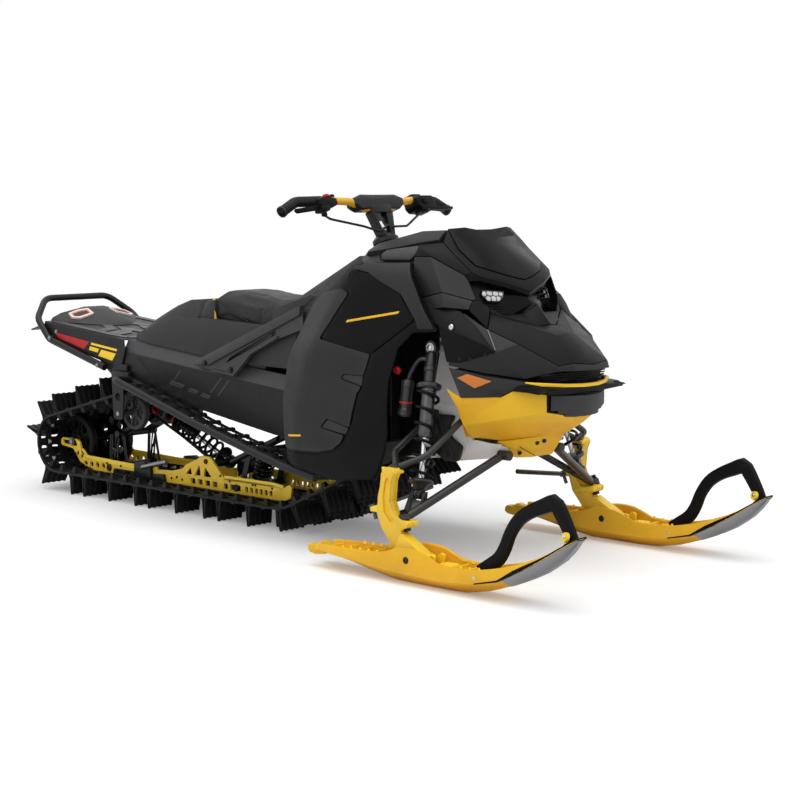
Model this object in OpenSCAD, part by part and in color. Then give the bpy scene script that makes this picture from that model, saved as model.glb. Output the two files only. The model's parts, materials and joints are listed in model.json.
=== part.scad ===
// Mountain snowmobile, all sizes in mm, +X forward, +Y the vehicle's left, +Z up.
// The floor is z = 0. Inside the modules x = 0 lies near the ski spindles;
// place() moves everything so that the origin is under the middle of the box.

/* [Skis and steering] */
// Distance between the two ski centres
ski_stance = 950; // [760:10:1140]
// Ski length ahead of the ski bolt
ski_front = 599; // [520:1:660]
// Ski length behind the ski bolt
ski_tail = 460; // [380:1:520]
// Ski width
ski_width = 122; // [100:2:150]
// Kingpin stud diameter
stud_d = 16; // [12:1:20]
// Ski bolt diameter
ski_bolt_d = 14; // [10:1:18]
// Handlebar width over the grip ends
bar_width = 800; // [680:10:900]
// Handlebar tube diameter
bar_d = 24; // [20:1:30]

/* [Track and skid] */
// Track width
track_width = 406; // [340:1:460]
// Height of the track lugs
lug_height = 75; // [50:1:90]
// Wanted distance from lug to lug
lug_pitch = 76.2; // [60:0.1:90]
// Thickness of the track belt
belt = 8; // [6:1:12]
// Rear idler wheel radius
idler_r = 105; // [85:1:120]
// Distance of the rear idler axle behind x = 0
idler_back = 2150; // [1950:10:2350]
// Drive sprocket radius
sprocket_r = 97; // [85:1:110]
// Distance between the inner faces of the rails
rail_gap = 214; // [180:2:240]
// Rail thickness
rail_wall = 10; // [8:1:16]
// Skid axle diameter
axle_d = 22; // [16:1:30]

/* [Tunnel and boards] */
// Free space between the track edge and the tunnel wall
track_clear = 14; // [10:1:24]
// Tunnel wall thickness
tunnel_wall = 5; // [3:0.5:8]
// Running board width from the tunnel wall to the outer tube
board_width = 132; // [100:1:170]
// Running board tube diameter
board_tube_d = 26; // [20:1:34]
// Rear bumper tube diameter
hoop_d = 25; // [20:1:32]
// Hole for a cargo anchor in the tunnel's deck
anchor_d = 10; // [6:1:14]
// Distance from anchor to anchor along the deck
anchor_x = 80; // [60:5:120]
// Distance from anchor to anchor across the deck
anchor_y = 240; // [160:5:260]

/* [Body] */
// Seat pad width at its foot
seat_width = 250; // [200:5:280]
// Side panel thickness
panel_wall = 14; // [8:1:20]
// Windshield thickness
screen_wall = 5; // [3:0.5:8]
// Largest half width of the side panels
panel_half = 370; // [340:1:400]
// Free space around moving pieces
gap = 6; // [5:0.5:10]
// Free space at pins and in bores
pin_gap = 0.4; // [0.3:0.1:1]

/* [Hidden] */
$fn = 48;
e = 0.3;                                   // clearance between pieces that only rest on each other
half_track = track_width / 2;
tun = half_track + track_clear + tunnel_wall;   // tunnel half width outside
tin = tun - tunnel_wall;
zb = lug_height + belt;                    // top of the belt's lower run
idler = [-idler_back, zb + idler_r];
drive = [-558, 415 - lug_height];
carrier = [idler[0] + (drive[0] - idler[0]) * 0.2569, 338];
carrier_r = 68;
wheels = [[idler[0], idler[1], idler_r], [-936, zb + 230, 230], [drive[0], drive[1], sprocket_r], [carrier[0], carrier[1], carrier_r]];
arc_n = 20;
rail_y = rail_gap / 2;                     // inner face of a rail
boards_y = tun + board_width;              // centre of the running board tube
st = ski_stance / 2;                       // ski centre
pivot = [0, st, 80];                       // ski bolt
k0 = [-68, st - 9, 186];                   // lower ball joint
k1 = [-123, st - 21, 327];                 // upper ball joint
kd = k1 - k0;
kl = norm(kd);
deck_slope = atan(0.092);
deck_ref = [-1569, 604];                   // a point of the tunnel deck line
post_foot = [-585, 0, 985];
post_lean = 20;
hood_rear = -187;                          // rear face of the hood
x_front = ski_front;
flap_x = -2172;                            // rear end of the tunnel
flap_out = 128;                            // snow flap length past it
flap_wall = 5;
x_rear = flap_x - flap_out * cos(deck_slope) - (48 + flap_wall + tunnel_wall + e) * sin(deck_slope);
x_mid = (x_front + x_rear) / 2;

// ---------- helpers ----------
module place() translate([-x_mid, 0, 0]) children();
module both() { children(); mirror([0, 1, 0]) children(); }
module rod(a, b, r) {
  d = b - a;
  L = norm(d);
  translate(a) rotate([0, acos(d[2] / L), atan2(d[1], d[0])]) cylinder(r = r, h = L);
}
// bent tube through points, with ball corners
module bent(p, r) {
  for (i = [0 : len(p) - 2]) rod(p[i], p[i + 1], r);
  for (i = [1 : len(p) - 2]) translate(p[i]) sphere(r = r * 1.015);
}
// convex body through corner points
module body(p) hull() for (q = p) translate(q) cube(2, center = true);
function flip(p) = [for (q = p) [q[0], -q[1], q[2]]];
function sym(p) = concat(p, flip(p));
// outline in x and z, extruded from y0 to y1
module side(p, y0, y1) translate([0, y1, 0]) rotate([90, 0, 0]) linear_extrude(y1 - y0) polygon(p);
// outline in y and z, extruded from x0 to x1
module front(p, x0, x1) translate([x0, 0, 0]) rotate([90, 0, 90]) linear_extrude(x1 - x0) polygon(p);
// outline in x and y, extruded from z0 to z1
module plan(p, z0, z1) translate([0, 0, z0]) linear_extrude(z1 - z0) polygon(p);
module cross(x, z, r, y0, y1) rod([x, y0, z], [x, y1, z], r);
// frame of the tunnel deck at x: local z = 0 is the deck, local +x points forward along it
function deck_z(x) = deck_ref[1] + (deck_ref[0] - x) * tan(deck_slope);
module on_deck(x) translate([x, 0, deck_z(x)]) rotate([0, deck_slope, 0]) children();
// frame of the left kingpin: local z runs up the axis from the lower joint
module kingpin() translate(k0) rotate([0, acos(kd[2] / kl), atan2(kd[1], kd[0])]) rotate([0, 0, -atan2(kd[1], kd[0])]) children();
// coil spring along z, as one closed sweep
module coil(r, w, h, turns) {
  n = round(turns * 12);
  m = 6;
  pts = [for (i = [0 : n]) for (j = [0 : m - 1]) let (a = i * 360 * turns / n, b = 30 + j * 360 / m, q = r + w * cos(b)) [q * cos(a), q * sin(a), w + (h - 2 * w) * i / n + w * sin(b)]];
  quads = [for (i = [0 : n - 1]) for (j = [0 : m - 1]) let (a = i * m + j, b = i * m + (j + 1) % m) [a, b, b + m, a + m]];
  polyhedron(points = pts, faces = concat([[for (j = [0 : m - 1]) j]], [for (f = quads) [f[3], f[1], f[0]]], [for (f = quads) [f[3], f[2], f[1]]], [[for (j = [0 : m - 1]) n * m + m - 1 - j]]), convexity = 8);
}
// children stand on a and point to b
module along(a, b) {
  d = b - a;
  translate(a) rotate([0, acos(d[2] / norm(d)), atan2(d[1], d[0])]) children();
}

// ---------- track ----------
function nrm(i, j) = let (a = wheels[i], b = wheels[j], d = [b[0] - a[0], b[1] - a[1]]) atan2(d[1], d[0]) - acos((a[2] - b[2]) / norm(d));
out_a = [for (i = [0 : 3]) nrm(i, (i + 1) % 4)];
in_a = [for (i = [0 : 3]) out_a[(i + 3) % 4]];
turn_a = [for (i = [0 : 3]) let (d = out_a[i] - in_a[i]) d - 360 * floor(d / 360)];
function rim(off) = [for (i = [0 : 3]) for (k = [0 : arc_n]) let (a = in_a[i] + turn_a[i] * k / arc_n, w = wheels[i]) [w[0] + (w[2] + off) * cos(a), w[1] + (w[2] + off) * sin(a)]];
function run(i) = let (a = wheels[i], b = wheels[(i + 1) % 4]) sqrt(pow(b[0] - a[0], 2) + pow(b[1] - a[1], 2) - pow(a[2] - b[2], 2));
seg = [for (i = [0 : 7]) i % 2 == 0 ? (wheels[i / 2][2] + belt) * turn_a[i / 2] * PI / 180 : run((i - 1) / 2)];
function total(i = 0) = i > 7 ? 0 : seg[i] + total(i + 1);
loop = total();
lug_n = round(loop / lug_pitch);
function spot(s, i = 0) = s <= seg[i] || i == 7 ? (i % 2 == 0 ?
    let (w = wheels[i / 2], a = in_a[i / 2] + s / (w[2] + belt) * 180 / PI) [w[0] + (w[2] + belt) * cos(a), w[1] + (w[2] + belt) * sin(a), a] :
    let (k = (i - 1) / 2, w = wheels[k], a = out_a[k]) [w[0] + (w[2] + belt) * cos(a) - s * sin(a), w[1] + (w[2] + belt) * sin(a) + s * cos(a), a])
  : spot(s - seg[i], i + 1);

module track() place() color([0.06, 0.06, 0.065]) translate([0, half_track, 0]) rotate([90, 0, 0]) linear_extrude(track_width) {
  difference() { polygon(rim(belt)); polygon(rim(0)); }
  for (k = [0 : lug_n - 1]) let (q = spot((k + 0.5) * loop / lug_n)) translate([q[0], q[1]]) rotate(q[2]) translate([-2, -6]) square([lug_height + 2, 12]);
}

// ---------- skid ----------
rail_line = [[idler[0] - 72, idler[1] - 18], [idler[0] - 72, idler[1] + 4], [idler[0] + 36, idler[1] + 4], [idler[0] + 50, zb + 76], [idler[0] + 82, zb + 49],
  [-1693, zb + 43], [-1499, zb + 65], [-1382, zb + 121], [-1352, zb + 121], [-1272, zb + 51], [-1018, zb + 53], [-945, zb + 40], [-925, zb + 8],
  [-960, zb], [idler[0] + 90, zb], [idler[0] + 34, zb + 22], [idler[0] + 4, zb + 68]];
tie_bar = [-1367, zb + 92];                // cross tube in the rails' peak
low_bar = [-1205, zb + 26];
arm_bar = [idler[0] + 225, zb + 26];

module slide_rails() place() color([0.95, 0.66, 0.03]) both() difference() {
  side(rail_line, rail_y, rail_y + rail_wall);
  for (x = [-1255 : 36 : -985]) translate([x, rail_y - 1, zb + 14]) cube([20, rail_wall + 2, 20]);
  for (x = [-1345 : 36 : -1290]) translate([x, rail_y - 1, zb + 14]) cube([20, rail_wall + 2, 20]);
  for (x = [idler[0] + 130 : 36 : -1760]) cross(x, zb + 24, 8, rail_y - 1, rail_y + rail_wall + 1);
  side([[-1420, zb + 48], [-1382, zb + 74], [-1382, zb + 48]], rail_y - 1, rail_y + rail_wall + 1);
  side([[-1352, zb + 48], [-1352, zb + 74], [-1316, zb + 48]], rail_y - 1, rail_y + rail_wall + 1);
  cross(idler[0], idler[1], axle_d / 2 + pin_gap, rail_y - 1, rail_y + rail_wall + 1);
}

module wheel(x, z, r, y0, w, holes) difference() {
  cross(x, z, r, y0, y0 + w);
  for (k = [0 : holes - 1]) let (a = k * 360 / holes) cross(x + r * 0.58 * cos(a), z + r * 0.58 * sin(a), r * 0.2, y0 - 1, y0 + w + 1);
}
module rear_idlers() place() color([0.05, 0.05, 0.055]) {
  both() wheel(idler[0], idler[1], idler_r - 0.7, rail_y + rail_wall + 9, 24, 6);
  both() cross(idler[0], idler[1], 22, rail_y + rail_wall + 0.5, rail_y + rail_wall + 10);
  cross(idler[0], idler[1], axle_d / 2, -(rail_y + rail_wall + 40), rail_y + rail_wall + 40);
}
module upper_idlers() place() color([0.16, 0.16, 0.17]) {
  both() wheel(carrier[0], carrier[1], carrier_r - 0.7, rail_y + 11, 26, 5);
  cross(carrier[0], carrier[1], axle_d / 2, -(tin - 5), tin - 5);
  both() side([[carrier[0] - 26, carrier[1] - 22], [carrier[0] + 26, carrier[1] - 22], [carrier[0] + 40, deck_z(carrier[0]) - 62], [carrier[0] - 40, deck_z(carrier[0]) - 62]], tin - 10, tin);
}
module drive_axle() place() color([0.10, 0.10, 0.11]) {
  both() wheel(drive[0], drive[1], sprocket_r - 0.7, 60, 30, 6);
  cross(drive[0], drive[1], 14, -(tin - e), tin - e);
}
module rear_arm() place() color([0.07, 0.07, 0.075]) {
  both() rod([carrier[0], 60, carrier[1] - axle_d / 2 - 11], [arm_bar[0] + 20, 60, 236], 13);
  cross(arm_bar[0] + 20, 236, 14, -92, 92);
  both() side([[arm_bar[0] + 6, 236], [arm_bar[0] + 34, 236], [arm_bar[0] + 12, arm_bar[1]], [arm_bar[0] - 12, arm_bar[1]]], 84, 92);
  cross(arm_bar[0], arm_bar[1], 15, -rail_y, rail_y);
  both() difference() {
    cross(carrier[0], carrier[1], axle_d / 2 + 12, 48, 72);
    cross(carrier[0], carrier[1], axle_d / 2 + pin_gap, 47, 73);
  }
}
front_pivot = [-840, 372];
module front_arm() place() color([0.07, 0.07, 0.075]) {
  cross(front_pivot[0], front_pivot[1], 14, -tin, tin);
  both() rod([front_pivot[0], 80, front_pivot[1]], [low_bar[0] + 45, 80, low_bar[1] + 128], 13);
  cross(low_bar[0] + 45, low_bar[1] + 128, 14, -94, 94);
  both() side([[low_bar[0] + 32, low_bar[1] + 128], [low_bar[0] + 58, low_bar[1] + 128], [low_bar[0] + 12, low_bar[1]], [low_bar[0] - 12, low_bar[1]]], 86, 94);
  cross(low_bar[0], low_bar[1], 14, -rail_y, rail_y);
  cross(tie_bar[0], tie_bar[1], 14, -rail_y, rail_y);
}
rs_a = [carrier[0], 0, carrier[1]];
rs_b = [tie_bar[0], 0, tie_bar[1]];
fs_a = [low_bar[0] + 45, 0, low_bar[1] + 128];
fs_b = [low_bar[0], 0, low_bar[1]];
// damper from a to b: eye rings round the cross tubes, a body and a rod
module damper(a, b, ra, rb, r) {
  d = (b - a) / norm(b - a);
  L = norm(b - a);
  difference() {
    union() {
      translate(a) rotate([90, 0, 0]) cylinder(r = ra + 9, h = 26, center = true);
      translate(b) rotate([90, 0, 0]) cylinder(r = rb + 9, h = 26, center = true);
      rod(a + d * (ra + 5), a + d * (L * 0.55), r);
      rod(a + d * (L * 0.5), b - d * (rb + 5), r * 0.5);
    }
    translate(a) rotate([90, 0, 0]) cylinder(r = ra + pin_gap, h = 40, center = true);
    translate(b) rotate([90, 0, 0]) cylinder(r = rb + pin_gap, h = 40, center = true);
  }
}
function between(a, b, s) = a + (b - a) / norm(b - a) * s;
function span(a, b) = norm(b - a);
rs_seat = span(rs_a, rs_b) * 0.27;         // upper spring seat of the rear shock
module skid_shocks() place() color([0.08, 0.08, 0.085]) {
  damper(rs_a, rs_b, axle_d / 2, 14, 20);
  along(between(rs_a, rs_b, span(rs_a, rs_b) - 46), rs_b) cylinder(r = 40, h = 8);
  along(between(rs_a, rs_b, rs_seat), rs_b) cylinder(r = 40, h = 8);
  damper(fs_a, fs_b, 14, 14, 17);
  along(between(fs_a, fs_b, 25), fs_b) cylinder(r = 38, h = 6);
  along(between(fs_a, fs_b, span(fs_a, fs_b) - 31), fs_b) cylinder(r = 38, h = 6);
}
module skid_springs() place() color([0.05, 0.05, 0.055]) {
  along(between(rs_a, rs_b, rs_seat + 8 + e), rs_b) coil(33, 5.5, span(rs_a, rs_b) - 46 - rs_seat - 8 - 2 * e, 7);
  along(between(fs_a, fs_b, 31 + e), fs_b) coil(31, 5, span(fs_a, fs_b) - 62 - 2 * e, 5);
}

// ---------- tunnel, boards, tail ----------
anchor_mid = -1740;                        // middle of the cargo anchors
low_edge = [[-352, 300], [-889, 336], [-1519, 428], [-1760, 476], [-1835, 538], [-2080, 590], [-2172, 640]];
// level pads in the sloped deck, drilled for the cargo anchors
anchor_pad = [deck_z(anchor_mid - anchor_x / 2) + 3, deck_z(anchor_mid + anchor_x / 2) - 9];   // top and foot
module anchors(r, over) both() for (x = [-anchor_x / 2, anchor_x / 2])
  translate([anchor_mid + x, anchor_y / 2, anchor_pad[1] - over]) cylinder(r = r, h = anchor_pad[0] - anchor_pad[1] + 2 * over);
module tunnel() place() color([0.10, 0.10, 0.105]) {
  difference() {
    union() {
      intersection() {
        on_deck(-1400) front([[-tun, -330], [-tun, -47], [-tun + 26, 0], [tun - 26, 0], [tun, -47], [tun, -330],
          [tin, -330], [tin, -47 - tunnel_wall * 0.5], [tin - 24, -tunnel_wall], [-tin + 24, -tunnel_wall], [-tin, -47 - tunnel_wall * 0.5], [-tin, -330]], -900, 700);
        side(concat([[-800, 700], [-800, 331]], [for (i = [1 : 6]) low_edge[i]], [[-2176, 700]]), -tun - 1, tun + 1);
      }
      anchors(anchor_d / 2 + 9, 0);
    }
    anchors(anchor_d / 2, 10);
  }
  // raised front box over the drive sprockets
  difference() {
    side([[-801, 300], [-801, 572], [-352, 572], [-352, 300]], -tun, tun);
    side([[-810, 290], [-810, 572 - tunnel_wall], [-352 - tunnel_wall, 572 - tunnel_wall], [-352 - tunnel_wall, 290]], -tin, tin);
    side([[-820, 250], [-820, 340], [-801, 338], [-340, 306], [-340, 250]], -tun - 1, tun + 1);
  }
}

board_line = [[-1584, 486], [-1136, 362], [-712, 262], [-560, 240]];
module running_boards() place() color([0.09, 0.09, 0.095]) both() {
  bent([for (p = board_line) [p[0], boards_y, p[1]]], board_tube_d / 2);
  rod([-1584, boards_y, 486], [-1640, tun + 8, 462], board_tube_d / 2 * 0.98);
  difference() {
    side([[-1560, 448], [-1560, 452], [-1136, 365], [-712, 276], [-560, 256], [-560, 250], [-712, 270], [-1136, 359], [-1556, 444]], tun, boards_y - board_tube_d / 2 + 3);
    for (x = [-1500 : 95 : -700]) translate([x, tun + 22, 200]) cube([70, board_width - board_tube_d / 2 - 34, 400]);
  }
  side([[-1650, 440], [-1650, 474], [-1590, 462], [-1590, 440]], tun, tun + 16);
  side([[-561, 250], [-561, 256], [-480, 258], [-360, 306], [-300, 380], [-300, 372], [-356, 298], [-476, 252]], tun, panel_half - panel_wall - 24);
  for (x = [-540, -372]) cross(x, x < -500 ? 262 : 306, 7, panel_half - panel_wall - 40, panel_half - panel_wall - e);
}

module rear_bumper() place() color([0.045, 0.045, 0.05]) {
  r = hoop_d / 2;
  y = tun + r + 2;
  top = tun - 106;
  bent([[-1780, y, 500], [-2131, y, 592], [-2203, y - 6, 664], [-2262, top, 742], [-2262, -top, 742], [-2203, -y + 6, 664], [-2131, -y, 592], [-1780, -y, 500]], r);
  both() { cross(-1815, 523, 9, tun, y); cross(-2105, 604, 9, tun, y); }
}
module tail_pod() place() color([0.07, 0.07, 0.075]) on_deck(-2080) difference() {
  hull() {
    translate([-118, -150, e]) cube([20, 300, 8]);
    translate([-96, -120, 30]) cube([20, 240, 12]);
    translate([60, -105, 26]) cube([60, 210, 10]);
    translate([170, -85, e]) cube([10, 170, 4]);
  }
  both() translate([-92, 62, 24]) rotate([-14, -8, 0]) cube([72, 60, 40]);
}
module tail_lights() place() color([0.75, 0.10, 0.06]) on_deck(-2080) both() intersection() {
  translate([-91, 63, 24 + e]) rotate([-14, -8, 0]) cube([69, 57, 38]);
  hull() {
    translate([-117, -149, e]) cube([20, 298, 8]);
    translate([-96, -120, 30]) cube([20, 240, 14]);
    translate([60, -105, 26]) cube([60, 210, 12]);
  }
}
module snow_flap() place() color([0.05, 0.05, 0.055]) on_deck(flap_x) translate([0, 0, -tunnel_wall - e]) intersection() {
  side([[50, -flap_wall], [50, 0], [-8, 0], [-flap_out, -48], [-flap_out, -48 - flap_wall], [-9, -flap_wall]], -200, 200);
  w = tun - 26;
  plan([[60, 46 - w], [60, w - 46], [-2, w - 46], [-8, w], [-flap_out, w - 8], [-flap_out + 18, 60], [-flap_out + 18, -60], [-flap_out, 8 - w], [-8, -w], [-2, 46 - w]], -80, 10);
}

// ---------- seat and middle body ----------
module seat_base() place() color([0.075, 0.075, 0.08]) intersection() {
  side([[-1655, 590], [-1660, 724], [-1600, 742], [-1520, 716], [-1440, 742], [-1390, 700], [-955, 640], [-955, 530]], -230, 230);
  foot = tun - 17;
  top = seat_width / 2 + 25;
  front([[-foot, 520], [-foot, 585], [-top - 15, 700], [-top, 760], [top, 760], [top + 15, 700], [foot, 585], [foot, 520]], -1700, -900);
  on_deck(-1300) translate([-500, -300, e]) cube([900, 600, 300]);
}
function seat_z(x) = 700 - (x + 1390) * 60 / 435;   // top of the seat base under the pad
module seat_pad() place() color([0.05, 0.05, 0.055]) hull() {
  translate([-1378, 0, seat_z(-1378) + 10.1 + e]) rotate([90, 0, 0]) cylinder(r = 10, h = seat_width, center = true);
  translate([-1385, 0, 785]) rotate([90, 0, 0]) cylinder(r = 18, h = seat_width - 60, center = true);
  translate([-1300, 0, 796]) rotate([90, 0, 0]) cylinder(r = 18, h = seat_width - 50, center = true);
  translate([-975, 0, 772]) rotate([90, 0, 0]) cylinder(r = 18, h = seat_width - 80, center = true);
  translate([-967, 0, seat_z(-967) + 10.1 + e]) rotate([90, 0, 0]) cylinder(r = 10, h = seat_width - 30, center = true);
}
module knee_panels() place() color([0.085, 0.085, 0.09]) both() {
  side([[-948, 580], [-948, 760], [-728, 800], [-728, 580]], 150 + e, tun);
}
module support_braces() place() color([0.12, 0.12, 0.125]) both() difference() {
  side([[-1262, 545], [-1262, 566], [-738, 806], [-732, 776], [-732, 706], [-1130, 524], [-1190, 520]], tun + e, tun + e + 18);
  side([[-1080, 590], [-1060, 612], [-790, 736], [-790, 706]], tun, tun + 30);
  cross(-1216, 545, 6, tun, tun + 30);
  cross(-1128, 542, 6, tun, tun + 30);
}
module console() place() color([0.06, 0.06, 0.065]) difference() {
  union() {
    intersection() {
      side([[-950, 576], [-950, 650], [-905, 792], [-780, 842], [-640, 930], [-600, 962], [-520, 985], [-350, 1012], [hood_rear - e, 1030], [hood_rear - e, 760], [-350, 760], [-350, 576]], -300, 300);
      union() {
        front([[-150, 570], [-150, 800], [-130, 1040], [130, 1040], [150, 800], [150, 570]], -960, -640);
        front([[-150, 570], [-150, 800], [-215, 930], [-180, 965], [-150, 1040], [150, 1040], [180, 965], [215, 930], [150, 800], [150, 570]], -640, hood_rear);
      }
    }
  }
  post_frame() translate([0, 0, -120]) cylinder(r = post_r + pin_gap, h = 260);
}

// ---------- hood and front ----------
module hood() place() color([0.055, 0.055, 0.06]) difference() {
  union() {
    body(sym([[-186, 150, 1026], [-186, 228, 935], [-186, 262, 850], [-186, 262, 762], [-60, 284, 762], [-60, 284, 745], [-48, 200, 888], [-20, 110, 866], [-12, 0, 866], [0, 120, 760], [20, 220, 740]]));
    body(sym([[-58, 284, 752], [-58, 283, 630], [-22, 110, 864], [-14, 0, 864], [24, 0, 806], [8, 110, 780], [-35, 200, 780], [100, 238, 668], [90, 232, 603], [221, 110, 602], [238, 132, 622], [168, 42, 720], [250, 0, 652], [306, 0, 640], [303, 0, 601], [-58, 240, 604]]));
  }
  both() translate([-64, 104, 792]) rotate([0, 0, -12]) cube([140, 74, 44]);
}
module windshield() place() color([0.03, 0.03, 0.035]) translate([-12, 0, 868 + e]) rotate([0, 42.6, 0]) translate([0, 0, 0.6]) {
  plan([[-6, -40], [-30, -118], [-60, -146], [-120, -160], [-236, -146], [-230, 0], [-236, 146], [-120, 160], [-60, 146], [-30, 118], [-6, 40]], 0, screen_wall);
}
module headlights() place() color([0.75, 0.78, 0.8]) both() intersection() {
  translate([-63, 104 + e, 792 + e]) rotate([0, 0, -12]) cube([120, 72, 43]);
  body([[-62, 60, 792], [-62, 220, 792], [-62, 60, 836], [-62, 220, 836], [-14, 90, 836], [2, 90, 794], [-26, 220, 794]]);
}
module belly_pan() place() color([0.95, 0.66, 0.03]) {
  body(sym([[-38, 268, 545], [-34, 250, 450], [-38, 150, 364], [20, 122, 364], [138, 62, 374], [196, 136, 492], [204, 140, 536], [-38, 268, 559.7], [200, 140, 559.7], [205, 0, 500]]));
  body(sym([[20, 118, 363], [136, 62, 372], [34, 84, 336], [120, 48, 336]]));
}
module grille() place() color([0.04, 0.04, 0.045]) {
  for (z = [494 : 9 : 536]) body(sym([[207.3, 118, z], [207.3, 0, z], [212, 118, z + 2], [212, 0, z + 2]]));
  both() body([[207.3, 116, 490], [207.3, 122, 490], [212, 116, 540], [212, 122, 540]]);
}
module front_bumper() place() color([0.04, 0.04, 0.045]) {
  body(sym([[-50, 272, 562], [-50, 272, 590], [120, 262, 562], [186, 250, 562], [250, 196, 562], [300, 60, 562], [308, 0, 562], [206, 110, 598.7], [250, 0, 598.7], [100, 226, 598.7], [-50, 232, 598.7]]));
}
module front_frame() place() color([0.55, 0.56, 0.57]) {
  body(sym([[-346, 158, 312], [-346, 158, 384], [-76, 146, 384], [-76, 146, 340], [-300, 120, 306]]));
  body(sym([[-78, 120, 334], [-78, 120, 360], [12, 100, 360], [12, 100, 336]]));
  both() body([[-240, 150, 324], [-240, 177, 330], [-190, 177, 324], [-240, 177, 384], [-100, 177, 384], [-240, 150, 384], [-90, 150, 384], [-190, 177, 480], [-54, 177, 480], [-54, 150, 480], [-190, 150, 480]]);
  both() body([[-190, 150, 480], [-190, 177, 480], [-54, 177, 480], [-54, 150, 480], [-172, 172, 700], [-128, 172, 700], [-172, 192, 700], [-128, 192, 700]]);
  both() cross(sh_a[0], sh_a[2], 15, 176, sh_a[1] + 12);
  both() for (x = [ua_f, ua_r]) cross(x, ua_z, 9, 170, ua_y - 13 - e);
  both() cross(la_r[0], la_r[2], 10, 170, la_r[1] - 14 - e);
}
module engine() place() color([0.25, 0.25, 0.26]) translate([-340, -146, 385 + e]) cube([260, 292, 330]);

// ---------- front suspension ----------
la_f = [28, 128, 348];                     // lower arm mounts
la_r = [-205, 206, 346];
ua_f = -56;                                // upper arm mounts
ua_r = -186;
ua_y = 204;
ua_z = 466;
sh_a = [-150, 252, 675];                   // shock eyes
sh_b = [-81, st - 90, 246];
eye_r = 16;
lug_r = 17;                                // spindle lug under each eye
module eye(z) kingpin() translate([0, 0, z]) cylinder(r = eye_r, h = 22, center = true);
// bore for the spindle's stud, and room for the lug under the eye
module eye_room(z) kingpin() translate([0, 0, z]) {
  cylinder(r = stud_d / 2 + pin_gap, h = 50, center = true);
  translate([0, 0, -46]) cylinder(r = lug_r + 3, h = 35);
  translate([0, 0, 11]) cylinder(r = eye_r, h = 30);
}
module lower_arms() place() color([0.05, 0.05, 0.055]) both() difference() {
  union() {
    eye(0);
    rod(k0 + [-2, -14, 1], la_f, 13);
    rod(k0 + [-8, -13, 1], la_r, 12);
    rod(la_f - [14, 0, 0], la_f + [30, 0, 0], 15);
    rod(la_r - [20, 0, 0], la_r + [20, 0, 0], 14);
    rod(sh_b - [22, 0, 0], sh_b + [22, 0, 0], 8);
    rod(sh_b - [19, 0, 2], sh_b - [23, 0, 24], 8);
    rod(sh_b + [17, 0, -2], sh_b + [26, 0, -24], 8);
  }
  eye_room(0);
}
module upper_arms() place() color([0.05, 0.05, 0.055]) both() difference() {
  union() {
    eye(kl);
    bent([k1 + [1, -14, 2], [k1[0] + 72, k1[1] - 66, 364], [ua_f, ua_y, ua_z]], 10);
    bent([k1 + [-4, -14, 2], [k1[0] - 58, k1[1] - 66, 366], [ua_r, ua_y, ua_z]], 10);
    for (x = [ua_f, ua_r]) rod([x - 11, ua_y, ua_z], [x + 11, ua_y, ua_z], 13);
  }
  eye_room(kl);
}
module front_shocks() place() color([0.07, 0.07, 0.075]) both() {
  L = span(sh_a, sh_b);
  difference() {
    union() {
      translate(sh_a) rotate([0, 0, 0]) rotate([90, 0, 0]) cylinder(r = 24, h = 20, center = true);
      rod(between(sh_a, sh_b, 20), between(sh_a, sh_b, L * 0.62), 19);
      rod(between(sh_a, sh_b, L * 0.6), between(sh_a, sh_b, L - 14), 9);
      translate(sh_b) rotate([0, 90, 0]) cylinder(r = 16, h = 20, center = true);
      along(between(sh_a, sh_b, 120), sh_b) cylinder(r = 38, h = 10);
      along(between(sh_a, sh_b, L - 44), sh_b) cylinder(r = 38, h = 9);
      rod(between(sh_a, sh_b, 40), between(sh_a, sh_b, 40) + [-44, 22, 0], 8);
      rod(between(sh_a, sh_b, 40) + [-48, 24, 22], between(sh_a, sh_b, 40) + [-50, 32, -90], 19);
    }
    translate(sh_a) rotate([90, 0, 0]) cylinder(r = 15 + pin_gap, h = 60, center = true);
    translate(sh_b) rotate([0, 90, 0]) cylinder(r = 8 + pin_gap, h = 60, center = true);
  }
}
module front_springs() place() color([0.05, 0.05, 0.055]) both()
  along(between(sh_a, sh_b, 130 + e), sh_b) coil(32, 5, span(sh_a, sh_b) - 44 - 130 - 2 * e, 6);

// ---------- steering ----------
post_r = 17;
module post_frame() translate(post_foot) rotate([0, -post_lean, 0]) children();
module steering_post() place() color([0.06, 0.06, 0.065]) post_frame() {
  translate([0, 0, -119]) cylinder(r = post_r, h = 119 + 70);
  difference() {
    translate([-18, -26, 66]) cube([44, 52, bar_z - 18 + 6 - 66]);
    translate([4, -60, bar_z - 18]) rotate([-90, 0, 0]) cylinder(r = bar_d / 2 + e, h = 120);
  }
  translate([10, -24, 30]) cube([20, 48, 12]);
}
bw = bar_width / 2;
bar_z = 118;
grip_in = bw - 66;
bar_pts = [[4, 0, bar_z - 18], [4, 58, bar_z - 18], [-6, 150, bar_z + 4], [-36, grip_in, bar_z - 4], [-42, bw, bar_z - 38]];
module half_bar(r) {
  for (i = [0 : 3]) rod(bar_pts[i], bar_pts[i + 1], r);
  for (i = [1 : 3]) translate(bar_pts[i]) sphere(r = r * 1.02);
}
module handlebar() place() color([0.95, 0.66, 0.03]) post_frame() both() half_bar(bar_d / 2);
module bar_pad() place() color([0.05, 0.05, 0.055]) post_frame() hull() both() {
  translate([-22, 62, bar_z + bar_d / 2 + 6]) cube([44, 52, 26]);
  translate([-12, 20, bar_z - 18 + bar_d / 2 + e]) cube([26, 20, 30]);
}
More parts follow.
